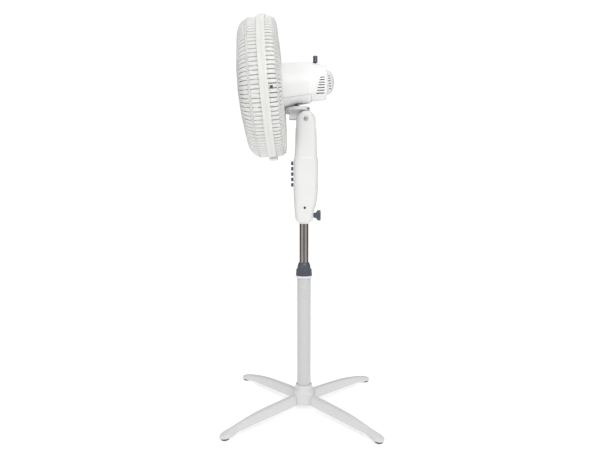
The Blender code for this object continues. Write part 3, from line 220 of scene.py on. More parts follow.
def drawn_metal(name, colour, shade, roughness, streak=(900, 900, 6)):
    """Plated or drawn metal: fine streaks along the piece."""
    look = Shader(name, colour, roughness, 1.0)
    streaks = look.noise(1.0, 3, look.stretched(*streak))
    look.mottle(streaks, shade, 1.0)
    look.vary_roughness(streaks, roughness - 0.05, roughness + 0.12)
    look.bump((streaks, 0.10, 0.00002))
    return look.material


def laminated(name):
    """A stack of thin varnished sheets."""
    look = Shader(name, (0.12, 0.10, 0.09), 0.45, 0.8)
    bands = look.nodes.new("ShaderNodeTexWave")
    bands.bands_direction = "Y"
    fill(bands, {"Scale": 320, "Distortion": 0.3})
    look.links.new(look.place, bands.inputs["Vector"])
    look.mottle(bands.outputs["Fac"], (0.30, 0.26, 0.24))
    look.bump((bands.outputs["Fac"], 0.6, 0.0001))
    look.vary_roughness(look.noise(60), 0.35, 0.55)
    return look.material


WHITE = moulded("white_moulding", (0.91, 0.91, 0.90), (0.88, 0.885, 0.88), 0.36)
# Painted shade: a darker copy of the white moulding, for the neck, its panel, the collet flange and the rear cap,
# which the lamps light more brightly than the housing
SHADED_WHITE = moulded("neck_moulding", (0.78, 0.78, 0.77), (0.75, 0.755, 0.745), 0.38)
GUARD = moulded("guard_moulding", (0.80, 0.805, 0.775), (0.76, 0.765, 0.73), 0.42, grain=600, milky=0.6)
BLADE = moulded("blade_moulding", (0.88, 0.88, 0.86), (0.84, 0.84, 0.82), 0.30, grain=400, milky=0.4)
GREY = moulded("pale_grey_moulding", (0.69, 0.695, 0.70), (0.64, 0.645, 0.65), 0.50, grain=700)
BASE = moulded("base_moulding", (0.66, 0.66, 0.66), (0.64, 0.64, 0.64), 0.40, grain=800)
ENAMEL = enamelled("pole_enamel", (0.56, 0.56, 0.56), (0.547, 0.547, 0.55))
SLATE = moulded("slate_moulding", (0.060, 0.071, 0.095), (0.074, 0.086, 0.112), 0.30, grain=1100)
RUBBER = moulded("rubber", (0.012, 0.012, 0.013), (0.03, 0.03, 0.032), 0.78, grain=1500, grain_depth=0.00008)
CHROME = drawn_metal("dark_chrome", (0.30, 0.28, 0.26), (0.36, 0.335, 0.31), 0.12)
STEEL = drawn_metal("zinc_steel", (0.42, 0.46, 0.50), (0.55, 0.58, 0.61), 0.30, (700, 40, 700))
# Painted shade: near-black steel for two screws, its dark colour standing in for the shade in the holes they sit
# in
SCREW_SHADE_STEEL = drawn_metal("screw_painted_shade_steel", (0.045, 0.045, 0.048), (0.075, 0.075, 0.078), 0.42, (500, 500, 500))
LAMINATION = laminated("lamination_steel")
NYLON = moulded("natural_nylon", (0.55, 0.53, 0.46), (0.48, 0.46, 0.40), 0.50, grain=500)

BY_SLOT = {
    "white_plastic": WHITE,
    "guard_plastic": GUARD,
    "pale_grey_plastic": GREY,
    "white_enamel": ENAMEL,
    "slate_plastic": SLATE,
    "black_rubber": RUBBER,
    "dark_chrome": CHROME,
    "zinc_steel": STEEL,
    "lamination_steel": LAMINATION,
    "natural_nylon": NYLON,
}
# The screws that take the near-black steel as painted shade
SCREWS_IN_PAINTED_SHADE = ("neck_screw", "cup_screw")
SLOT_OF = {part["node"]: part["material_slot"] for part in frame["record"]["subparts"]}
for node_name, node in frame["nodes"].items():
    node.data.materials.clear()
    node.data.materials.append(SCREW_SHADE_STEEL if node_name in SCREWS_IN_PAINTED_SHADE else BY_SLOT[SLOT_OF[node_name]])
    node.data.shade_smooth()
    node.data.set_sharp_from_angle(angle=radians(35))


# ---------------------------------------------------------------- mesh helpers
def new_piece(name, mesh, material, body, node=None, smooth=35):
    """A piece that rides on a body and, where a node is named, stands for it."""
    piece = add_object(name, mesh)
    mesh.materials.clear()
    mesh.materials.append(material)
    mesh.shade_smooth()
    mesh.set_sharp_from_angle(angle=radians(smooth))
    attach(piece, body)
    if node:
        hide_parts(node)
    return piece


def turned_piece(name, outline, steps, material, body, node, place=None, ripple=None, smooth=35):
    """A turned mesh as a piece of the same name."""
    mesh = turned_mesh(name, outline, steps, place, ripple)
    new_piece(name, mesh, material, body, node, smooth)


def spun(degrees, axis="Z"):
    return Matrix.Rotation(radians(degrees), 4, axis)


def circle(count):
    """The angle, cosine and sine of evenly spaced points around a circle."""
    for i in range(count):
        angle = 2 * pi * i / count
        yield angle, cos(angle), sin(angle)


def oval(half_wide, half_deep, power, count):
    """Points around an oval. A power below 1 squares its corners."""
    for _, c, s in circle(count):
        yield half_wide * copysign(abs(c) ** power, c), half_deep * copysign(abs(s) ** power, s)


def mesh_from(name, build, place=None):
    """A mesh made by a function that fills a bmesh, then moved into place."""
    shape = bmesh.new()
    build(shape)
    if place:
        bmesh.ops.transform(shape, matrix=place, verts=shape.verts)
    bmesh.ops.recalc_face_normals(shape, faces=shape.faces)
    mesh = bpy.data.meshes.new(name)
    shape.to_mesh(mesh)
    shape.free()
    return mesh


def box_mesh(name, low, high, place=None, bevel=0.0):
    """A box between two corners, with rounded edges where a bevel is given."""
    low, high = Vector(low), Vector(high)

    def build(shape):
        size = Matrix.Diagonal((*(high - low), 1))
        bmesh.ops.create_cube(shape, size=1, matrix=Matrix.Translation((low + high) / 2) @ size)
        if bevel:
            edges = shape.edges[:]
            bmesh.ops.bevel(shape, geom=edges, offset=bevel, segments=3, profile=0.5, affect="EDGES")

    return mesh_from(name, build, place)


def rod_mesh(name, start, end, radius, sides):
    """A round rod. Its facets are turned a little, so that none lies in another piece's face."""
    start, end = Vector(start), Vector(end)
    along = end - start
    turn = along.to_track_quat("Z", "Y").to_matrix().to_4x4() @ spun(3.1)
    place = Matrix.Translation((start + end) / 2) @ turn

    def build(shape):
        sizes = {"radius1": radius, "radius2": radius, "depth": along.length}
        bmesh.ops.create_cone(shape, cap_ends=True, segments=sides, matrix=place, **sizes)

    return mesh_from(name, build)


def upright(name, foot, low, high, radius, sides):
    """A rod between two heights, above a point."""
    return rod_mesh(name, foot + Vector((0, 0, low)), foot + Vector((0, 0, high)), radius, sides)


def loft_mesh(name, rings, place=None):
    """A closed skin through rings of equally many points."""

    def build(shape):
        rows = [[shape.verts.new(point) for point in ring] for ring in rings]
        count = len(rows[0])
        for lower, upper in zip(rows, rows[1:]):
            for i in range(count):
                j = (i + 1) % count
                shape.faces.new((lower[i], lower[j], upper[j]))
                shape.faces.new((lower[i], upper[j], upper[i]))
        shape.faces.new(rows[0])
        shape.faces.new(rows[-1])

    return mesh_from(name, build, place)


def turned_mesh(name, outline, steps, place=None, ripple=None):
    """Revolves an outline of (radius, height) about Z. A ripple maps (angle, radius, height) to a radius.

    The outline is a closed loop, or a line that starts and ends on the axis."""

    def build(shape):
        rows = []
        for angle, c, s in circle(steps):
            row = []
            for radius, height in outline:
                out = ripple(angle, radius, height) if ripple and radius else radius
                row.append(shape.verts.new((out * c, out * s, height)) if radius else None)
            rows.append(row)
        spans = count = len(outline)
        for k, (radius, height) in enumerate(outline):
            if radius == 0:
                spans = count - 1
                pole = shape.verts.new((0, 0, height))
                for row in rows:
                    row[k] = pole
        for here, following in zip(rows, rows[1:] + rows[:1]):
            for k in range(spans):
                n = (k + 1) % count
                corners = dict.fromkeys((here[k], here[n], following[n], following[k]))
                shape.faces.new(list(corners))

    return mesh_from(name, build, place)


def rounded(outline, radius):
    """Rounds each inner corner of an outline with a short arc."""
    made = [outline[0]]
    for before, point, after in zip(outline, outline[1:], outline[2:]):
        before, point, after = Vector(before), Vector(point), Vector(after)
        reach = min(radius, (point - before).length * 0.45, (after - point).length * 0.45)
        start = point + (before - point).normalized() * reach
        end = point + (after - point).normalized() * reach
        for t in (0, 1 / 3, 2 / 3, 1):
            on = start * (1 - t) ** 2 + point * 2 * t * (1 - t) + end * t**2
            made.append((on.x, on.y))
    return [*made, outline[-1]]


def cut(mesh, cutters, operation="DIFFERENCE"):
    """Cuts meshes out of a mesh, or joins or intersects them, and returns the result."""
    holder = add_object("boolean_holder", mesh)
    helpers = []
    for cutter in cutters:
        helper = add_object("boolean_cutter", cutter)
        modifier = holder.modifiers.new("cut", "BOOLEAN")
        modifier.object = helper
        modifier.operation = operation
        modifier.solver = "EXACT"
        helpers.append(helper)
    bpy.context.view_layer.update()
    evaluated = holder.evaluated_get(bpy.context.evaluated_depsgraph_get())
    result = bpy.data.meshes.new_from_object(evaluated)
    for helper in [*helpers, holder]:
        bpy.data.objects.remove(helper)
    return result


def soften(piece, width):
    """Rounds a piece's sharp edges so that they catch the light."""
    bevel = piece.modifiers.new("edges", "BEVEL")
    bevel.width = width
    bevel.segments = 2
    bevel.limit_method = "ANGLE"
    bevel.angle_limit = radians(40)
    bevel.harden_normals = True


def smooth_table(rows, count):
    """Resamples rows of numbers evenly along their first column with monotone cubic curves."""
    keys = [row[0] for row in rows]
    gaps = [after - before for before, after in zip(keys, keys[1:])]
    samples = [keys[0] + (keys[-1] - keys[0]) * k / (count - 1) for k in range(count)]
    samples = sorted(set(round(s, 6) for s in samples) | set(keys))
    samples = [s for s in samples if s in keys or all(abs(s - key) > 0.0008 for key in keys)]
    columns = [samples]
    for values in list(zip(*rows))[1:]:
        rises = [(after - before) / gap for before, after, gap in zip(values, values[1:], gaps)]
        slopes = [rises[0]]
        for left, right in zip(rises, rises[1:]):
            slopes.append(0.0 if left * right <= 0 else 2 * left * right / (left + right))
        slopes.append(rises[-1])
        column = []
        for s in samples:
            i = max(k for k in range(len(gaps)) if keys[k] <= s)
            t = (s - keys[i]) / gaps[i]
            h00, h10 = 2 * t**3 - 3 * t**2 + 1, t**3 - 2 * t**2 + t
            h01, h11 = -2 * t**3 + 3 * t**2, t**3 - t**2
            m0, m1 = slopes[i] * gaps[i], slopes[i + 1] * gaps[i]
            column.append(h00 * values[i] + h10 * m0 + h01 * values[i + 1] + h11 * m1)
        columns.append(column)
    return list(zip(*columns))


# ---------------------------------------------------------------- base
def hub_outline(face, corner, soft):
    """One ring of the hub: flat on X and Y with rounded corners, or a circle as soft reaches 1."""
    mean = (face + corner) / 2
    sharp = 26.0
    points = []
    for angle, c, s in circle(96):
        turn = (angle + pi / 4) % (pi / 2) - pi / 4
        to_face = face / cos(turn)
        to_corner = corner / cos(pi / 4 - abs(turn))
        flat = (to_face**-sharp + to_corner**-sharp) ** (-1 / sharp)
        radius = flat * (1 - soft) + mean * soft
        points.append(Vector((radius * c, radius * s, 0)))
    return points


def build_hub():
    """The base's hub: a square block that narrows to a round collar, with a socket for each leg."""
    face, corner = HUB_FACE, HUB_CORNER
    # Height, radius at a face, radius at a corner and roundness
    levels = [
        (HUB_BOTTOM, face - 0.0012, corner - 0.0012, 0.0),
        (HUB_BOTTOM + 0.0005, face - 0.0004, corner - 0.0004, 0.0),
        (HUB_BOTTOM + 0.0014, face, corner, 0.0),
        (0.0500, face, corner, 0.0),
        (0.0525, face - 0.0003, corner - 0.0012, 0.0),
        (0.0545, face - 0.0011, corner - 0.0028, 0.05),
        (0.0560, face - 0.0021, corner - 0.0043, 0.20),
        (0.0580, face - 0.0034, corner - 0.0066, 0.50),
        (0.0600, 0.0288, 0.0300, 0.80),
        (0.0620, 0.0281, 0.0281, 1.0),
        (0.0660, 0.0271, 0.0271, 1.0),
        (0.0710, 0.0262, 0.0262, 1.0),
        (HUB_TOP - 0.0014, 0.0256, 0.0256, 1.0),
        (HUB_TOP - 0.0004, 0.0252, 0.0252, 1.0),
        (HUB_TOP, 0.0246, 0.0246, 1.0),
    ]
    rings = []
    for height, near, far, soft in levels:
        rings.append([point + Vector((0, 0, height)) for point in hub_outline(near, far, soft)])
    cutters = [
        rod_mesh("seat", (0, 0, 0.0302), (0, 0, 0.09), 0.02155, 96),
        rod_mesh("bolt_hole", (0, 0, 0), (0, 0, 0.05), 0.0045, 32),
    ]
    for angle in LEG_ANGLES:
        low, high = (0.0240, -0.0065, SOCKET_LOW), (0.0500, 0.0065, SOCKET_HIGH)
        cutters.append(box_mesh("socket", low, high, spun(angle)))
    for quarter in range(4):
        low, high = (face - 0.0010, -0.0165, 0.0225), (face + 0.01, 0.0165, 0.0510)
        cutters.append(box_mesh("panel", low, high, spun(BASE_TURN + 90 * quarter)))
    mesh = cut(loft_mesh("hub_moulding", rings, spun(BASE_TURN)), cutters)
    soften(new_piece("hub_moulding", mesh, BASE, "base", "base_hub"), 0.0005)


def eased(share):
    """Rises smoothly from 0 to 1."""
    share = min(1.0, max(0.0, share))
    return share * share * (3 - 2 * share)


def leg_top(reach):
    """The height of a leg's ridge: falling gently at first, then in an arch to the foot."""
    out = (reach - LEG_ROOT) / (LEG_REACH + LEG_END_RADIUS - LEG_ROOT)
    return LEG_TOP - 0.0110 * out - 0.0245 * out**3.8


def leg_bottom(reach):
    """The height of a leg's lower edge: straight, with a small step down to the round end."""
    out = min(1.0, (reach - LEG_ROOT) / (LEG_PADDLE - LEG_ROOT))
    return HUB_BOTTOM - 0.0060 * out - 0.0045 * eased((reach - LEG_PADDLE) / 0.016)


def leg_half_width(reach):
    """Half a leg's width: slender as far as the round end, which it swells into."""
    past = reach - LEG_REACH
    if past > 0:
        return sqrt(max(LEG_END_RADIUS**2 - past**2, 0.0012**2))
    out = (reach - LEG_ROOT) / (LEG_PADDLE - LEG_ROOT)
    slender = LEG_HALF + 0.0010 * min(1.0, out)
    return slender + (LEG_END_RADIUS - slender) * eased((reach - LEG_PADDLE) / (LEG_REACH - LEG_PADDLE))


def leg_ring(reach, half, low, high, steps=8):
    """A leg's section: upright sides under a flat ridge near the hub, and a low dome at the foot."""
    domed = eased((reach - 0.165) / 0.110)
    ridge = half * (0.80 - 0.40 * domed)
    shoulder = 0.0022 + ((high - low) * 0.72 - 0.0022) * domed
    side = [(half * 0.95, low), (half, low + 0.0005), (half * 0.98, high - shoulder)]
    knee = half * (0.97 - 0.02 * domed)
    for i in range(1, steps):
        t = i / steps
        across = half * 0.98 * (1 - t) ** 2 + knee * 2 * t * (1 - t) + ridge * t**2
        drop = shoulder * ((1 - t) ** 2 + 0.10 * 2 * t * (1 - t))
        side.append((across, high - drop))
    side += [(ridge, high - shoulder * 0.02), (ridge * 0.5, high)]
    section = side + [(-across, height) for across, height in reversed(side)]
    return [Vector((reach, across, height)) for across, height in section]


def build_legs():
    for number, angle in enumerate(LEG_ANGLES, 1):
        turn = spun(angle)
        low, high = SOCKET_LOW + 0.0003, SOCKET_HIGH - 0.0003
        rings = [leg_ring(reach, 0.0062, low, high) for reach in (0.0243, LEG_ROOT)]
        reaches = [LEG_ROOT + (LEG_REACH - LEG_ROOT) * i / 48 for i in range(49)]
        reaches += [LEG_REACH + LEG_END_RADIUS * sin(radians(a)) for a in range(6, 91, 6)]
        for reach in reaches:
            rings.append(leg_ring(reach, leg_half_width(reach), leg_bottom(reach), leg_top(reach)))
        hollow = []
        for i in range(14):
            reach = 0.048 + (0.252 - 0.048) * i / 13
            low, high = leg_bottom(reach) - 0.003, leg_top(reach) - WALL
            hollow.append(leg_ring(reach, leg_half_width(reach) - WALL, low, high, 3))
        mesh = cut(loft_mesh("leg", rings, turn), [loft_mesh("hollow", hollow, turn)])
        new_piece(f"leg_moulding_{number}", mesh, BASE, "base", f"leg_{number}", smooth=32)


# ---------------------------------------------------------------- pole, collar and tube
def flute(depth, count, angle):
    """How deep a ring of evenly spaced flutes is at an angle."""
    return depth * (0.5 + 0.5 * cos(count * angle)) ** 2


def build_pipe(name, node, wall, steps, material, body):
    """A straight tube in a node's place, with its outer edges broken."""
    low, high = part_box(node)
    radius, edge = high.x, 0.0003
    outer = [
        (radius - edge, high.z),
        (radius, high.z - edge),
        (radius, low.z + edge),
        (radius - edge, low.z),
    ]
    outline = [*outer, (radius - wall, low.z), (radius - wall, high.z)]
    turned_piece(name, outline, steps, material, body, node, smooth=40)


def build_collet():
    """The sleeve in the pole's top, with the white flange that shows."""
    flange = 0.0257
    outline = [
        (0.0152, 0.4440),
        (0.0168, 0.4385),
        (0.0195, 0.4375),
        (0.0195, POLE_TOP + 0.0070),
        (flange - 0.0004, POLE_TOP + 0.0070),
        (flange, POLE_TOP + 0.0064),
        (flange, POLE_TOP + 0.0030),
        (flange - 0.0010, POLE_TOP + 0.0012),
        (flange - 0.0030, POLE_TOP + 0.0003),
        (0.0197, POLE_TOP + 0.0003),
        (0.0197, 0.3700),
        (TUBE_BORE, 0.3700),
        (TUBE_BORE, 0.4440),
    ]
    # The flange takes the darker copy of the white moulding, which paints shade onto it
    turned_piece("collet_moulding", outline, 96, SHADED_WHITE, "base", "pole_collet")


def build_collar():
    """The locking nut: a smooth shoulder over a grip of 20 ribs."""
    outline = [
        (0.0146, 0.4625),
        (0.0154, 0.4616),
        (0.0171, 0.4584),
        (0.0184, 0.4550),
        (0.0193, 0.4515),
        (0.0198, 0.4480),
        (0.0201, 0.4437),
        (0.0206, 0.4430),
        (0.0232, 0.4404),
        (0.0238, 0.4390),
        (0.0242, 0.4345),
        (0.0245, 0.4285),
        (0.0249, 0.4230),
        (0.0243, POLE_TOP + 0.0074),
        (0.0199, POLE_TOP + 0.0074),
        (0.0199, 0.4382),
        (0.0156, 0.4450),
        (0.0141, 0.4500),
        (0.0141, 0.4625),
    ]

    def grip(angle, radius, height):
        if radius < 0.0235 or not 0.4222 < height < 0.4395:
            return radius
        return radius - flute(0.0018, 20, angle)

    outline = rounded(outline, 0.0006)
    turned_piece("collar_moulding", outline, 288, SLATE, "collar", "height_collar", ripple=grip, smooth=50)


# ---------------------------------------------------------------- neck
# Height, front, back and half width
NECK_STATIONS = [
    (NECK_BOTTOM, -0.0105, 0.0125, 0.0155),
    (0.5828, -0.0138, 0.0156, 0.0184),
    (0.5850, -0.0172, 0.0189, 0.0212),
    (0.5885, -0.0213, 0.0229, 0.0240),
    (0.5928, -0.0246, 0.0262, 0.0262),
    (0.6000, -0.0265, 0.0275, 0.0276),
    (0.6118, -0.0277, 0.0283, 0.0288),
    (0.6229, -0.0286, 0.0298, 0.0298),
    (0.6367, -0.0296, 0.0359, 0.0310),
    (0.6612, -0.0308, 0.0398, 0.0325),
    (0.7020, -0.0320, 0.0424, 0.0340),
    (0.7650, -0.0316, 0.0424, 0.0340),
    (0.7790, -0.0305, 0.0421, 0.0337),
    (0.7835, -0.0292, 0.0398, 0.0322),
    (0.8370, -0.0262, 0.0381, 0.0310),
    (0.8780, -0.0254, 0.0367, 0.0303),
]


def neck_rings(inset, low, high, count, around):
    """The neck's sections between two heights: its stations, then a round top."""
    stations = list(NECK_STATIONS)
    for angle in range(6, 87, 5):
        rise = NECK_TOP_RISE * sin(radians(angle)) ** 0.83
        half = NECK_TOP_HALF * cos(radians(angle)) ** 0.83
        width = 0.0300 - 0.0045 * (angle / 86) ** 4
        stations.append((NECK_TOP_CENTRE + rise, TILT_AXIS.y - half, TILT_AXIS.y + half, width))
    rings = []
    for height, front, back, width in smooth_table(stations, count):
        if low <= height <= high:
            centre = (front + back) / 2
            points = oval(width - inset, (back - front) / 2 - inset, 2 / 3, around)
            rings.append([Vector((x, centre + y, height)) for x, y in points])
    return rings


def build_neck():
    """The neck's two halves, cut from one skin, with the fork for the bracket in its top."""
    panel_low, panel_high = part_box("control_panel")
    low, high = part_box("neck_screw")
    screw = (low + high) / 2
    screw.x = 0
    gap = 0.0003
    side, ear = Vector((0.05, 0, 0)), Vector((0.0293, 0, 0))
    cutters = [
        loft_mesh("cavity", neck_rings(WALL, 0.645, 0.862, 24, 40)),
        rod_mesh("socket", (0, 0, 0.55), (0, 0, 0.649), TUBE_BORE, 64),
        box_mesh("fork", (-FORK_HALF, -0.06, FORK_FLOOR), (FORK_HALF, 0.06, 0.96)),
        rod_mesh("bolt_hole", TILT_AXIS - side, TILT_AXIS + side, 0.0044, 32),
        box_mesh(
            "window",
            (panel_low.x - gap, -0.06, panel_low.z - gap),
            (panel_high.x + gap, panel_high.y + 0.004, panel_high.z + gap),
        ),
        rod_mesh("clamp_hole", (0, 0.005, CLAMP_Z), (0, 0.06, CLAMP_Z), 0.0044, 32),
        rod_mesh("screw_hole", screw + side * 0.2, screw + side, 0.0022, 24),
        rod_mesh("screw_pocket", screw + side * 0.51, screw + side, 0.0038, 32),
        # A shallow round seat around the tilt bolt on each ear
        rod_mesh("bolt_seat_left", TILT_AXIS + ear, TILT_AXIS + side, 0.0072, 48),
        rod_mesh("bolt_seat_right", TILT_AXIS - ear, TILT_AXIS - side, 0.0090, 48),
    ]
    whole = loft_mesh("neck", neck_rings(0.0, 0.0, 1.0, 90, 72))
    for side_name, hand in (("left", 1), ("right", -1)):
        near, far = sorted((-hand * 0.08, hand * 0.00025))
        other_half = box_mesh("other_half", (near, -0.08, 0.5), (far, 0.08, 1.0))
        mesh = cut(whole.copy(), [*[cutter.copy() for cutter in cutters], other_half])
        # The halves take the darker copy of the white moulding, which paints shade onto them
        new_piece(f"neck_moulding_{side_name}", mesh, SHADED_WHITE, "mast", f"neck_{side_name}", smooth=30)


def build_controls():
    """The control panel and the buttons that come through it."""
    low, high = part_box("control_panel")
    holes = []
    for number in range(1, 6):
        near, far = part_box(f"button_{number}")
        centre = (near.z + far.z) / 2
        wide, tall = 0.0124, 0.00615
        holes.append(box_mesh("hole", (-wide, -0.06, centre - tall), (wide, 0, centre + tall)))
        build_button(number, centre, near.y)
    mesh = cut(box_mesh("panel_moulding", low, high, bevel=0.0012), holes)
    # The panel takes the darker copy of the white moulding, which paints shade onto it
    new_piece("panel_moulding", mesh, SHADED_WHITE, "mast", "control_panel", smooth=30)


def build_button(number, centre, tip):
    """A key with a flange behind the panel, soft corners and a shallow dish for the fingertip."""
    wide, tall = 0.0120, 0.00575
    # Distance back, half width and half height
    levels = [
        (-0.0272, wide + 0.0015, tall + 0.0014),
        (-0.0289, wide + 0.0015, tall + 0.0014),
        (-0.0289, wide, tall),
        (tip + 0.0030, wide - 0.0002, tall - 0.0002),
        (tip + 0.0014, wide - 0.0005, tall - 0.0005),
        (tip + 0.0005, wide - 0.0012, tall - 0.0012),
        (tip, wide - 0.0024, tall - 0.0022),
        (tip + 0.0003, wide - 0.0040, tall - 0.0034),
        (tip + 0.0008, wide - 0.0075, tall - 0.0048),
    ]
    rings = []
    for depth, half_x, half_z in levels:
        rings.append([Vector((x, depth, centre + z)) for x, z in oval(half_x, half_z, 0.3, 40)])
    mesh = loft_mesh(f"key_{number}", rings)
    new_piece(f"key_{number}", mesh, SLATE, f"push_{number}", f"button_{number}", smooth=40)


def build_clamp():
    """The wing knob at the back of the neck's foot."""
    # Distance back, radius and how far the wings stand out
    sections = [
        (0.0290, 0.0060, 0.0),
        (0.0298, 0.0066, 0.0),
        (0.0308, 0.0082, 0.0),
        (0.0362, 0.0084, 0.0),
        (0.0380, 0.0086, 0.12),
        (0.0396, 0.0088, 0.46),
        (0.0412, 0.0089, 0.74),
        (0.0440, 0.0090, 0.79),
        (0.0490, 0.0090, 0.80),
        (0.0504, 0.0086, 0.79),
        (0.0511, 0.0078, 0.76),
        (0.0512, 0.0060, 0.70),
    ]
    rings = []
    for depth, radius, wing in sections:
        ring = []
        for _, c, s in circle(72):
            spread = radius * (1 + wing * abs(c) ** 2.5)
            ring.append(Vector((spread * s, depth, CLAMP_Z + spread * c)))
        rings.append(ring)
    bore = rod_mesh("bore", (0, 0, CLAMP_Z), (0, 0.0444, CLAMP_Z), 0.0043, 32)
    mesh = cut(loft_mesh("clamp_wing", rings), [bore])
    new_piece("clamp_wing", mesh, SLATE, "clamp", "clamp_knob", smooth=40)


def build_bolt():
    """The tilt bolt: a domed head with a cross recess, and a plain shank."""
    across = Matrix.Translation(TILT_AXIS) @ spun(90, "Y")
    outline = [
        (0, 0.0340),
        (0.0022, 0.0339),
        (0.0042, 0.0334),
        (0.0054, 0.0326),
        (0.0059, 0.0316),
        (0.0060, 0.0306),
        (0.0040, 0.0306),
        (0.0040, -0.0350),
        (0, -0.0350),
    ]
    arms = []
    for turn in (0.4, 0.4 + pi / 2):
        place = across @ Matrix.Rotation(turn, 4, "Z")
        arms.append(box_mesh("arm", (-0.0034, -0.000884, 0.0320), (0.0034, 0.000884, 0.0360), place))
    mesh = cut(turned_mesh("pivot_bolt", outline, 48, across), arms)
    new_piece("pivot_bolt", mesh, STEEL, "mast", "tilt_bolt", smooth=40)


# ---------------------------------------------------------------- tilt bracket
def build_bracket():
    """The block between the ears: a tongue on the tilt bolt, a cup for the housing and a front lip."""
    side = Vector((0.03, 0, 0))
    tongue = rod_mesh("bracket_moulding", TILT_AXIS - side * 0.533, TILT_AXIS + side * 0.533, 0.0215, 96)
    joined = [
        box_mesh("block", (-0.0160, -0.0449, 0.8976), (0.0160, 0.0020, BRACKET_TOP)),
        box_mesh("web", (-0.01599, -0.0050, 0.8980), (0.01599, 0.0165, BRACKET_TOP)),
    ]
    rings = []
    # The cup's height at its front and its back, and its inset
    levels = (
        (0.9226, 0.9226, 0.0),
        (0.9290, 0.9330, 0.0),
        (0.9294, 0.9334, 0.0003),
        (0.9296, 0.9336, 0.001),
    )
    for front, back, inset in levels:
        ring = []
        for _, c, s in circle(96):
            out = Vector((c, s, 0)) * (CUP_RADIUS - inset)
            ring.append(SWIVEL + out + Vector((0, 0, front + (back - front) * (s + 1) / 2)))
        rings.append(ring)
    joined.append(loft_mesh("cup", rings))
    lip = []
    for height in (0.9161, 0.9240):
        ring = []
        for turn in range(-48, 49, 4):
            angle = radians(turn - 90)
            out = Vector((cos(angle), sin(angle), 0)) * (CUP_RADIUS - 0.00005)
            ring.append(SWIVEL + out + Vector((0, 0, height)))
        lip.append(ring)
    joined.append(loft_mesh("lip", lip))
    joined.append(upright("turntable", SWIVEL, BRACKET_TOP, 0.9345, 0.0182, 72))
    holes = [
        rod_mesh("bolt_hole", TILT_AXIS - side, TILT_AXIS + side, 0.0043, 32),
        rod_mesh("tap", (0.0140, 0.0125, 0.9268), (0.03, 0.0125, 0.9268), 0.0016, 16),
    ]
    mesh = cut(cut(tongue, joined, "UNION"), holes)
    bracket = new_piece("bracket_moulding", mesh, GREY, "tilting_bracket", "tilt_bracket", smooth=30)
    soften(bracket, 0.0006)


# ---------------------------------------------------------------- motor housing
# Distance back, height above the shaft and depth below it
HOUSING_STATIONS = [
    (HOUSING_FRONT, 0.0697, 0.0628),
    (-0.0300, 0.0706, 0.0596),
    (-0.0050, 0.0701, 0.0549),
    (0.0150, 0.0692, 0.0535),
    (0.0345, 0.0675, 0.0520),
    (0.0420, 0.0664, 0.0468),
    (0.0600, 0.0612, 0.0467),
    (0.0780, 0.0556, 0.0465),
]


def housing_ring(back, above, below, inset=0.0):
    """A section of the housing: half an oval above the shaft and a shallower half below it."""
    above, below = above - inset, below - inset
    across_half = (above + below) / 2
    points = []
    for _, c, s in circle(96):
        height = (above if s > 0 else below) * s
        lean = REAR_RAKE * height * min(1.0, max(0.0, back / 0.07))
        points.append(Vector((across_half * c, back + lean, height)))
    return points


def vents(rows, top, half, inner, outer, front, back, front_step=0.0, back_step=0.0):
    """Cutters for level slots, one above another, on both sides of the shaft."""
    made = []
    for hand in (-1, 1):
        near, far = sorted((hand * inner, hand * outer))
        for row in range(rows):
            height = top - VENT_PITCH * row
            low = (near, front - front_step * row, height - half)
            high = (far, back - back_step * row, height + half)
            made.append(box_mesh("vent", low, high, HEAD))
    return made


def build_housing():
    """The upper and the lower cover, cut from one skin along the sloping seam."""
    outer = [housing_ring(*row) for row in smooth_table(HOUSING_STATIONS, 44)]
    end, above, below = HOUSING_STATIONS[-1]
    for angle in range(15, 91, 15):
        turn = radians(angle)
        back = end + 0.0088 * sin(turn) ** 0.8
        shrink = 1 - cos(turn)
        outer.append(housing_ring(back, above - 0.0006 - 0.0046 * shrink, below - 0.0012 - 0.0045 * shrink))
    inner = [housing_ring(HOUSING_FRONT - 0.01, *HOUSING_STATIONS[0][1:], inset=WALL)]
    inner += [housing_ring(*row, inset=WALL) for row in smooth_table(HOUSING_STATIONS, 16)]
    inner.append(housing_ring(0.0835, 0.0500, 0.0430, inset=WALL))
    seam = HEAD @ Matrix.Translation((0, 0, -SEAM_DROP)) @ Matrix.Rotation(SEAM_SLOPE, 4, "X")
    belly_room = box_mesh("belly_room", (-0.09, -0.09, -0.08), (0.09, 0.0387, 0.0002), seam)
    belly = box_mesh("belly", (-0.09, -0.09, -0.08), (0.09, 0.0380, -0.0006), seam)
    room = loft_mesh("room", inner, HEAD)
    cap_start, cap_end = HEAD @ Vector((0, 0.070, CAP_RISE)), HEAD @ Vector((0, 0.10, CAP_RISE))
    cutters = [
        belly_room,
        room.copy(),
        upright("knob_hole", KNOB_AXIS, 1.03, 1.09, 0.0034, 24),
        rod_mesh("cap_hole", cap_start, cap_end, 0.0290, 72),
        *vents(7, 0.0114, 0.0015, 0.026, 0.066, 0.0670, 0.0812, 0.0022, 0.0006),
    ]
    top = cut(loft_mesh("cover_top", outer, HEAD), cutters)
    new_piece("cover_top", top, WHITE, "head", "motor_cover_top", smooth=30)
    bottom = cut(loft_mesh("cover_bottom", outer, HEAD), [belly], "INTERSECT")
    swivel = upright("swivel", SWIVEL, 0.92, 0.955, 0.0190, 72)
    arm_slot = box_mesh("arm_slot", (-0.0140, -0.0150, 0.92), (-0.0008, 0.0065, 0.955))
    bottom = cut(bottom, [room, swivel, arm_slot])
    new_piece("cover_bottom", bottom, WHITE, "head", "motor_cover_bottom", smooth=30)


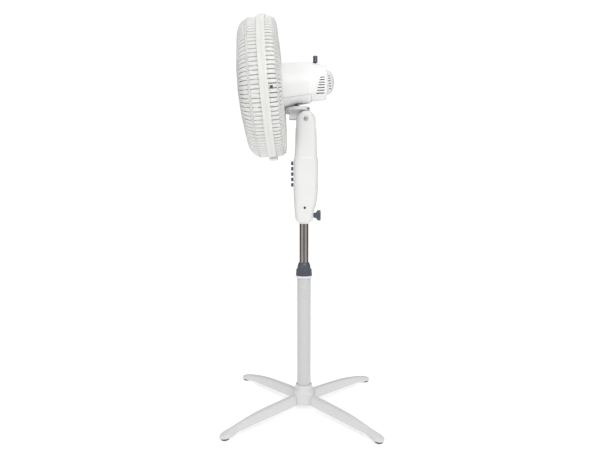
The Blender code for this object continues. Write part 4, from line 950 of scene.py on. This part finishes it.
def build_rear_cap():
    """The vented dome on the housing's back."""
    lean = atan(REAR_RAKE)
    place = HEAD @ Matrix.Translation((0, 0.0874, CAP_RISE)) @ Matrix.Rotation(-pi / 2 - lean, 4, "X")
    radius, rise = 0.0355, 0.0235
    outline = [(0, rise)]
    for angle in range(85, -1, -5):
        turn = radians(angle)
        outline.append((radius * cos(turn), rise * sin(turn) ** 0.9))
    for angle in range(0, 85, 6):
        turn = radians(angle)
        outline.append(((radius - WALL) * cos(turn), (rise - WALL) * sin(turn)))
    outline.append((0, rise - WALL))
    slots = vents(6, CAP_RISE + 0.0125, 0.0012, 0.0130, 0.045, 0.0915, 0.0990)
    mesh = cut(turned_mesh("cap_dome", outline, 96, place), slots)
    # The dome takes the darker copy of the white moulding, which paints shade onto it
    new_piece("cap_dome", mesh, SHADED_WHITE, "head", "rear_cap")


def build_knob():
    """The oscillation knob: a fluted head on a thin stem."""
    outline = [
        (0.0052, 1.0809),
        (0.0060, 1.0815),
        (0.0067, 1.0805),
        (0.0066, 1.0646),
        (0.0074, 1.0640),
        (0.0074, 1.0628),
        (0.0024, 1.0626),
        (0.0024, 1.0060),
    ]
    outline = [(0, 1.0809), *rounded(outline, 0.0004), (0, 1.0060)]

    def fluted(angle, radius, height):
        if radius < 0.0060 or not 1.0655 < height < 1.0800:
            return radius
        return radius - flute(0.0004, 16, angle)

    place = Matrix.Translation(KNOB_AXIS)
    turned_piece("pull_knob", outline, 128, SLATE, "knob", "osc_knob", place, fluted, 40)


# ---------------------------------------------------------------- blade
HUB_RADIUS = 0.0300
HUB_BACK = 0.0640
HUB_FRONT = 0.0980


def blade_point(radius, chord):
    """A point of a vane at a radius, from one of its edges (chord 0) to the other (chord 1)."""
    out = (radius - HUB_RADIUS) / (BLADE_RADIUS - HUB_RADIUS)
    span = radians(78 + 18 * out)
    angle = radians(34) * out + span * (chord - 0.5)
    depth = 0.026 + 0.018 * (1 - out)
    forward = 0.0835 + depth * (0.5 - chord) + 0.006 * sin(pi * chord)
    return Vector((radius * cos(angle), radius * sin(angle), forward))


def build_blade():
    """The blade: a hollow hub with thin vanes set into it."""
    outline = [
        (0.0220, HUB_FRONT - 0.0030),
        (0.0265, HUB_FRONT),
        (0.0290, HUB_FRONT - 0.0010),
        (HUB_RADIUS, HUB_FRONT - 0.0040),
        (HUB_RADIUS, HUB_BACK),
        (HUB_RADIUS - WALL, HUB_BACK),
        (HUB_RADIUS - WALL, HUB_FRONT - 0.0060),
        (0.0080, HUB_FRONT - 0.0060),
        (0.0080, HUB_BACK + 0.0040),
        (0.0043, HUB_BACK + 0.0040),
        (0.0043, HUB_FRONT - 0.0030),
    ]
    hub = turned_mesh("blade_moulding", rounded(outline, 0.0008), 72, SHAFT)
    vanes = []
    steps = 16
    for number in range(BLADE_COUNT):
        turn = SHAFT @ Matrix.Rotation(2 * pi * number / BLADE_COUNT, 4, "Z")

        def build(shape, turn=turn):
            grid = []
            for i in range(15):
                radius = HUB_RADIUS - 0.0012 + (BLADE_RADIUS - HUB_RADIUS + 0.0012) * i / 14
                pinch = max(0.0, (radius - 0.150) / (BLADE_RADIUS - 0.150)) ** 2 * 0.18
                row = []
                for k in range(steps + 1):
                    chord = pinch + (1 - 2 * pinch) * k / steps
                    row.append(shape.verts.new(turn @ blade_point(radius, chord)))
                grid.append(row)
            for inner, outer in zip(grid, grid[1:]):
                for k in range(steps):
                    shape.faces.new((inner[k], outer[k], outer[k + 1], inner[k + 1]))
            shape.normal_update()
            bmesh.ops.solidify(shape, geom=shape.faces[:], thickness=0.0018)

        vanes.append(mesh_from("vane", build))
    mesh = cut(hub, vanes, "UNION")
    new_piece("blade_moulding", mesh, BLADE, "rotor", "fan_blade")


def build_nut():
    """The domed nut that holds the blade, with a lobed rim."""
    outline = [
        (0.0060, 0.1129),
        (0.0120, 0.1120),
        (0.0165, 0.1085),
        (0.0175, HUB_FRONT + 0.0003),
        (0.0043, HUB_FRONT + 0.0003),
        (0.0043, 0.1084),
    ]
    outline = [(0, 0.1130), *rounded(outline, 0.0010), (0, 0.1084)]

    def lobed(angle, radius, height):
        return radius - (flute(0.0012, 12, angle) if radius > 0.0150 else 0)

    turned_piece("spinner_nut", outline, 144, SLATE, "rotor", "blade_nut", SHAFT, lobed, 40)


# ---------------------------------------------------------------- guards
def arc(centre_r, centre_y, radius, start, end, count):
    """Points of (radius, distance back) on an arc between two angles in degrees."""
    points = []
    for i in range(count):
        angle = radians(start + (end - start) * i / (count - 1))
        points.append((centre_r + radius * cos(angle), centre_y + radius * sin(angle)))
    return points


# Radius and distance back
FRONT_PROFILE = [
    (0.0300, FACE_Y),
    (0.0420, FACE_Y + 0.0009),
    (0.0600, FACE_Y + 0.0023),
    (0.0800, FACE_Y + 0.0041),
    (0.1050, FACE_Y + 0.0067),
    (0.1250, FACE_Y + 0.0093),
    (0.1450, FACE_Y + 0.0125),
    *arc(RIM - 0.040, FACE_Y + 0.0557, 0.040, -85, -6, 14),
    (RIM, FACE_Y + 0.0625),
    (RIM + 0.0005, FACE_Y + 0.0730),
    (RIM + 0.0010, BAND_Y - 0.0030),
]
REAR_PROFILE = [
    (RIM + 0.0010, BAND_Y + 0.0030),
    (RIM, BAND_Y + 0.0100),
    *arc(RIM - 0.022, BAND_Y + 0.0192, 0.022, 5, 85, 9),
    (0.1600, BAND_Y + 0.0424),
    (0.1330, BAND_Y + 0.0434),
    (0.1100, BAND_Y + 0.0442),
    (0.1000, BAND_Y + 0.0445),
    (0.0950, BAND_Y + 0.0440),
    (0.0915, BAND_Y + 0.0422),
    (0.0895, BAND_Y + 0.0402),
    (0.0875, -0.0508),
    (0.0820, -0.0520),
    (0.0640, -0.0523),
]


def rib_mesh(name, profile, count, width, depth):
    """Slim bars that follow a profile of (radius, distance back), evenly spaced about the shaft."""

    def build(shape):
        points = [Vector((radius, back)) for radius, back in profile]
        tangents = []
        for i in range(len(points)):
            tangents.append((points[min(i + 1, len(points) - 1)] - points[max(i - 1, 0)]).normalized())
        half = [(-0.5, -0.25), (-0.25, -0.5), (0.25, -0.5), (0.5, -0.25)]
        section = half + [(-across, -through) for across, through in half]
        for number in range(count):
            turn = HEAD @ Matrix.Rotation(2 * pi * (number + 0.5) / count, 4, "Y")
            rows = []
            for point, tangent in zip(points, tangents):
                normal = Vector((-tangent.y, tangent.x))
                slim = max(0.28, (point.x / RIM) ** 1.4)
                row = []
                for across, through in section:
                    spot = point + normal * depth * through
                    row.append(shape.verts.new(turn @ Vector((spot.x, spot.y, width * slim * across))))
                rows.append(row)
            for here, following in zip(rows, rows[1:]):
                for i in range(8):
                    j = (i + 1) % 8
                    shape.faces.new((here[i], here[j], following[j], following[i]))
            shape.faces.new(rows[0])
            shape.faces.new(rows[-1])

    return mesh_from(name, build)


def hoop_mesh(radius, back, wide, deep, degrees):
    """A hoop about the shaft: wide along the guard's profile, deep through it, and tilted to follow it."""
    tilt = radians(degrees)
    outline = []
    for along, through in oval(wide / 2, deep / 2, 0.55, 16):
        out = radius + through * cos(tilt) - along * sin(tilt)
        height = -back + along * cos(tilt) + through * sin(tilt)
        outline.append((out, height))
    return turned_mesh("hoop", outline, 192, SHAFT)


def joined_mesh(name, meshes):
    """One mesh from several that touch or cross."""

    def build(shape):
        for mesh in meshes:
            shape.from_mesh(mesh)

    return mesh_from(name, build)


# Radius, distance back, width, depth and tilt in degrees
FRONT_HOOPS = (
    (0.0330, FACE_Y + 0.0002, 0.010, 0.0040, 90),
    (0.1050, FACE_Y + 0.0067, 0.005, 0.0042, 90),
    (0.1600, FACE_Y + 0.0157, 0.004, 0.0042, 85),
    (RIM - 0.0015, FACE_Y + 0.0449, 0.0060, 0.0046, 15),
    (RIM + 0.0010, BAND_Y - 0.0070, 0.0070, 0.0046, 0),
)
REAR_HOOPS = (
    (RIM + 0.0010, BAND_Y + 0.0060, 0.0070, 0.0046, 0),
    (RIM - 0.0064, BAND_Y + 0.0348, 0.0050, 0.0042, -45),
    (0.1330, BAND_Y + 0.0434, 0.0045, 0.0042, 90),
    (0.0985, BAND_Y + 0.0443, 0.0060, 0.0042, 90),
)


def build_cage(side, profile, count, rib_size, hoops, *extras):
    """One guard: its ribs, the hoops that hold them and anything moulded in with them."""
    ribs = rib_mesh(f"{side}_ribs", profile, count, *rib_size)
    cage = joined_mesh(f"{side}_cage", [ribs, *[hoop_mesh(*hoop) for hoop in hoops], *extras])
    new_piece(f"{side}_cage", cage, GUARD, "head", f"{side}_guard", smooth=40)


def rear_plate():
    """The plain ring in the middle of the rear guard, which the guard nut clamps."""
    outline = [
        (0.0184, 0.0509),
        (0.0184, 0.0535),
        (0.0200, 0.0545),
        (0.0640, 0.0540),
        (0.0690, 0.0532),
        (0.0690, 0.0510),
        (0.0640, 0.0508),
    ]
    return turned_mesh("plate", rounded(outline, 0.0008), 128, SHAFT)


def build_band():
    """The wide plain hoop where the guards meet, with a shallow groove around its middle."""
    front_half = [
        (GUARD_RADIUS - 0.0030, BAND_HALF),
        (GUARD_RADIUS - 0.0004, BAND_HALF),
        (GUARD_RADIUS, BAND_HALF - 0.0022),
        (GUARD_RADIUS - 0.0002, 0.0012),
        (GUARD_RADIUS - 0.0009, 0.0004),
    ]
    halves = front_half + [(radius, -height) for radius, height in reversed(front_half)]
    outline = [(radius, height - BAND_Y) for radius, height in halves]
    turned_piece("band_hoop", rounded(outline, 0.0006), 256, GUARD, "head", "guard_band", SHAFT, smooth=40)


def build_catch():
    """A small dark catch between the rear ribs, halfway up the side that faces the camera."""
    corners = ((1, 0.6), (0.6, 1), (-0.6, 1), (-1, 0.6), (-1, -0.6), (-0.6, -1), (0.6, -1), (1, -0.6))
    rings = []
    for out, half in ((-0.0030, 0.0038), (0.0022, 0.0038), (0.0030, 0.0033)):
        rings.append([Vector((RIM + out, BAND_Y + 0.0195 + half * dy, half * dz)) for dy, dz in corners])
    mesh = loft_mesh("guard_catch", rings, HEAD @ spun(CATCH_TURN, "Y"))
    catch = new_piece("guard_catch", mesh, SLATE, "head")


def build_badge():
    """The plain disc in the middle of the front guard."""
    badge = [
        (0, 0.0053),
        (0.0150, 0.0052),
        (0.0230, 0.0048),
        (0.0300, 0.0041),
        (0.0345, 0.0033),
        (0.0362, 0.0025),
        (0.0368, 0.0017),
        (0.0360, 0.0013),
        (0.0262, 0.0019),
        (0.0260, -0.0010),
        (0.0240, -0.0010),
        (0.0240, 0.0025),
        (0, 0.0028),
    ]
    outline = [(radius, height - FACE_Y) for radius, height in badge]
    turned_piece("badge_disc", outline, 128, GUARD, "head", "front_badge", SHAFT, smooth=40)


def build_clip(end, side, rise):
    """A latch that bridges the band at the top (side 1) or the bottom (side -1)."""
    rings = []
    for across in (-0.0150, -0.0144, -0.0125, 0.0, 0.0125, 0.0144, 0.0150):
        squeeze = 0.0018 if abs(across) > 0.0149 else 0.0006 if abs(across) > 0.0140 else 0.0
        top = GUARD_RADIUS + rise - squeeze
        foot = GUARD_RADIUS + 0.0003 + squeeze * 0.3
        half = 0.0135 - squeeze
        outline = [
            (half, foot),
            (half, top - 0.0045),
            (half - 0.0012, top - 0.0022),
            (half - 0.0035, top - 0.0006),
            (half - 0.0070, top),
        ]
        ring = [Vector((across, BAND_Y - back, height)) for back, height in outline]
        ring += [Vector((across, BAND_Y + back, height)) for back, height in reversed(outline)]
        rings.append(ring)
    mesh = loft_mesh("clip", rings, HEAD @ Matrix.Diagonal((1, 1, side, 1)))
    new_piece(f"clip_{end}", mesh, GUARD, "head", f"guard_clip_{end}")


# ---------------------------------------------------------------- stage and light
# Strengths: the world where it is seen, the floor's glow, and the world's light by direction
BACKDROP = 1.05
FLOOR_GLOW = 0.55
FRONT_LIGHT = 0.38
WALL_LIGHT = 1.10
SIDE_LIGHT = 0.22
CEILING_LIGHT = 0.92


def build_stage():
    """The floor, the world and the lamps."""

    def disc(shape):
        bmesh.ops.create_circle(shape, cap_ends=True, segments=96, radius=2.4)

    floor = add_object("floor", mesh_from("floor", disc))
    # The floor is seen as a lit sweep, which keeps the shadows on it pale.
    paper = Shader("studio_floor", (0.62, 0.62, 0.62), 0.9)
    paper.mottle(paper.noise(2, 2), (0.60, 0.60, 0.60))
    fill(paper.shader, {"Emission Color": (1, 1, 1, 1), "Emission Strength": FLOOR_GLOW})
    floor.data.materials.append(paper.material)
    build_studio()
    bpy.context.scene.view_settings.view_transform = "Standard"

    lights = (
        ("key", (2.4, 0.8, 2.4), 1.4, 27),
        ("fill", (2.4, -1.3, 1.2), 1.6, 5),
        ("back", (-1.6, -0.4, 2.6), 1.6, 2),
    )
    target = Vector((0, 0, 0.6))
    for name, spot, size, power in lights:
        data = bpy.data.lights.new(name, "AREA")
        data.shape = "DISK"
        data.size = size
        data.energy = power
        light = add_object(name, data)
        light.location = spot
        light.rotation_euler = (target - Vector(spot)).to_track_quat("-Z", "Y").to_euler()


def build_studio():
    """A world that is white where it is seen, and lights the object as a room with two bright walls would."""
    world = bpy.data.worlds.new("studio")
    world.use_nodes = True
    nodes, links = world.node_tree.nodes, world.node_tree.links
    backdrop = nodes["Background"]
    fill(backdrop, {"Color": (1, 1, 1, 1), "Strength": BACKDROP})

    def number(operation, *values):
        """One step of arithmetic on numbers or sockets."""
        node = nodes.new("ShaderNodeMath")
        node.operation = operation
        for socket, value in zip(node.inputs, values):
            if isinstance(value, (int, float)):
                socket.default_value = value
            else:
                links.new(value, socket)
        return node.outputs["Value"]

    def step(value, low, high):
        """Rises smoothly from 0 to 1 between two values."""
        node = nodes.new("ShaderNodeMapRange")
        node.interpolation_type = "SMOOTHSTEP"
        fill(node, {"From Min": low, "From Max": high})
        links.new(value, node.inputs["Value"])
        return node.outputs["Result"]

    direction = nodes.new("ShaderNodeTexCoord").outputs["Generated"]
    parts = nodes.new("ShaderNodeSeparateXYZ")
    links.new(direction, parts.inputs["Vector"])
    front, side, up = parts.outputs["X"], parts.outputs["Y"], parts.outputs["Z"]
    azimuth = number("ABSOLUTE", number("ARCTAN2", side, front))
    rise = step(azimuth, radians(26), radians(38))
    fall = number("SUBTRACT", 1.0, step(azimuth, radians(66), radians(82)))
    level = number("MULTIPLY", number("MULTIPLY", rise, fall), WALL_LIGHT)
    level = number("MULTIPLY_ADD", number("SUBTRACT", 1.0, rise), FRONT_LIGHT, level)
    level = number("MULTIPLY_ADD", number("SUBTRACT", 1.0, fall), SIDE_LIGHT, level)
    ceiling = step(up, 0.35, 0.80)
    level = number("MULTIPLY", level, number("SUBTRACT", 1.0, ceiling))
    level = number("MULTIPLY_ADD", ceiling, CEILING_LIGHT, level)
    soft = nodes.new("ShaderNodeBackground")
    soft.inputs["Color"].default_value = (1, 1, 1, 1)
    links.new(level, soft.inputs["Strength"])
    choice = nodes.new("ShaderNodeMixShader")
    # The world is chosen by the ray. No material does that.
    links.new(nodes.new("ShaderNodeLightPath").outputs["Is Camera Ray"], choice.inputs["Fac"])
    links.new(soft.outputs["Background"], choice.inputs[1])
    links.new(backdrop.outputs["Background"], choice.inputs[2])
    links.new(choice.outputs["Shader"], nodes["World Output"].inputs["Surface"])
    bpy.context.scene.world = world


build_hub()
build_legs()
build_pipe("pole_enamelled", "outer_pole", POLE_WALL, 128, ENAMEL, "base")
build_collet()
build_collar()
build_pipe("tube_plated", "inner_tube", TUBE_WALL, 96, CHROME, "mast")
build_neck()
build_controls()
build_clamp()
build_bolt()
build_bracket()
build_housing()
build_rear_cap()
build_knob()
build_blade()
build_nut()
build_cage("front", FRONT_PROFILE, FRONT_RIBS, FRONT_RIB_SIZE, FRONT_HOOPS)
build_cage("rear", REAR_PROFILE, REAR_RIBS, REAR_RIB_SIZE, REAR_HOOPS, rear_plate())
build_band()
build_clip("top", 1, 0.0100)
build_clip("bottom", -1, 0.0075)
build_catch()
build_badge()
build_stage()
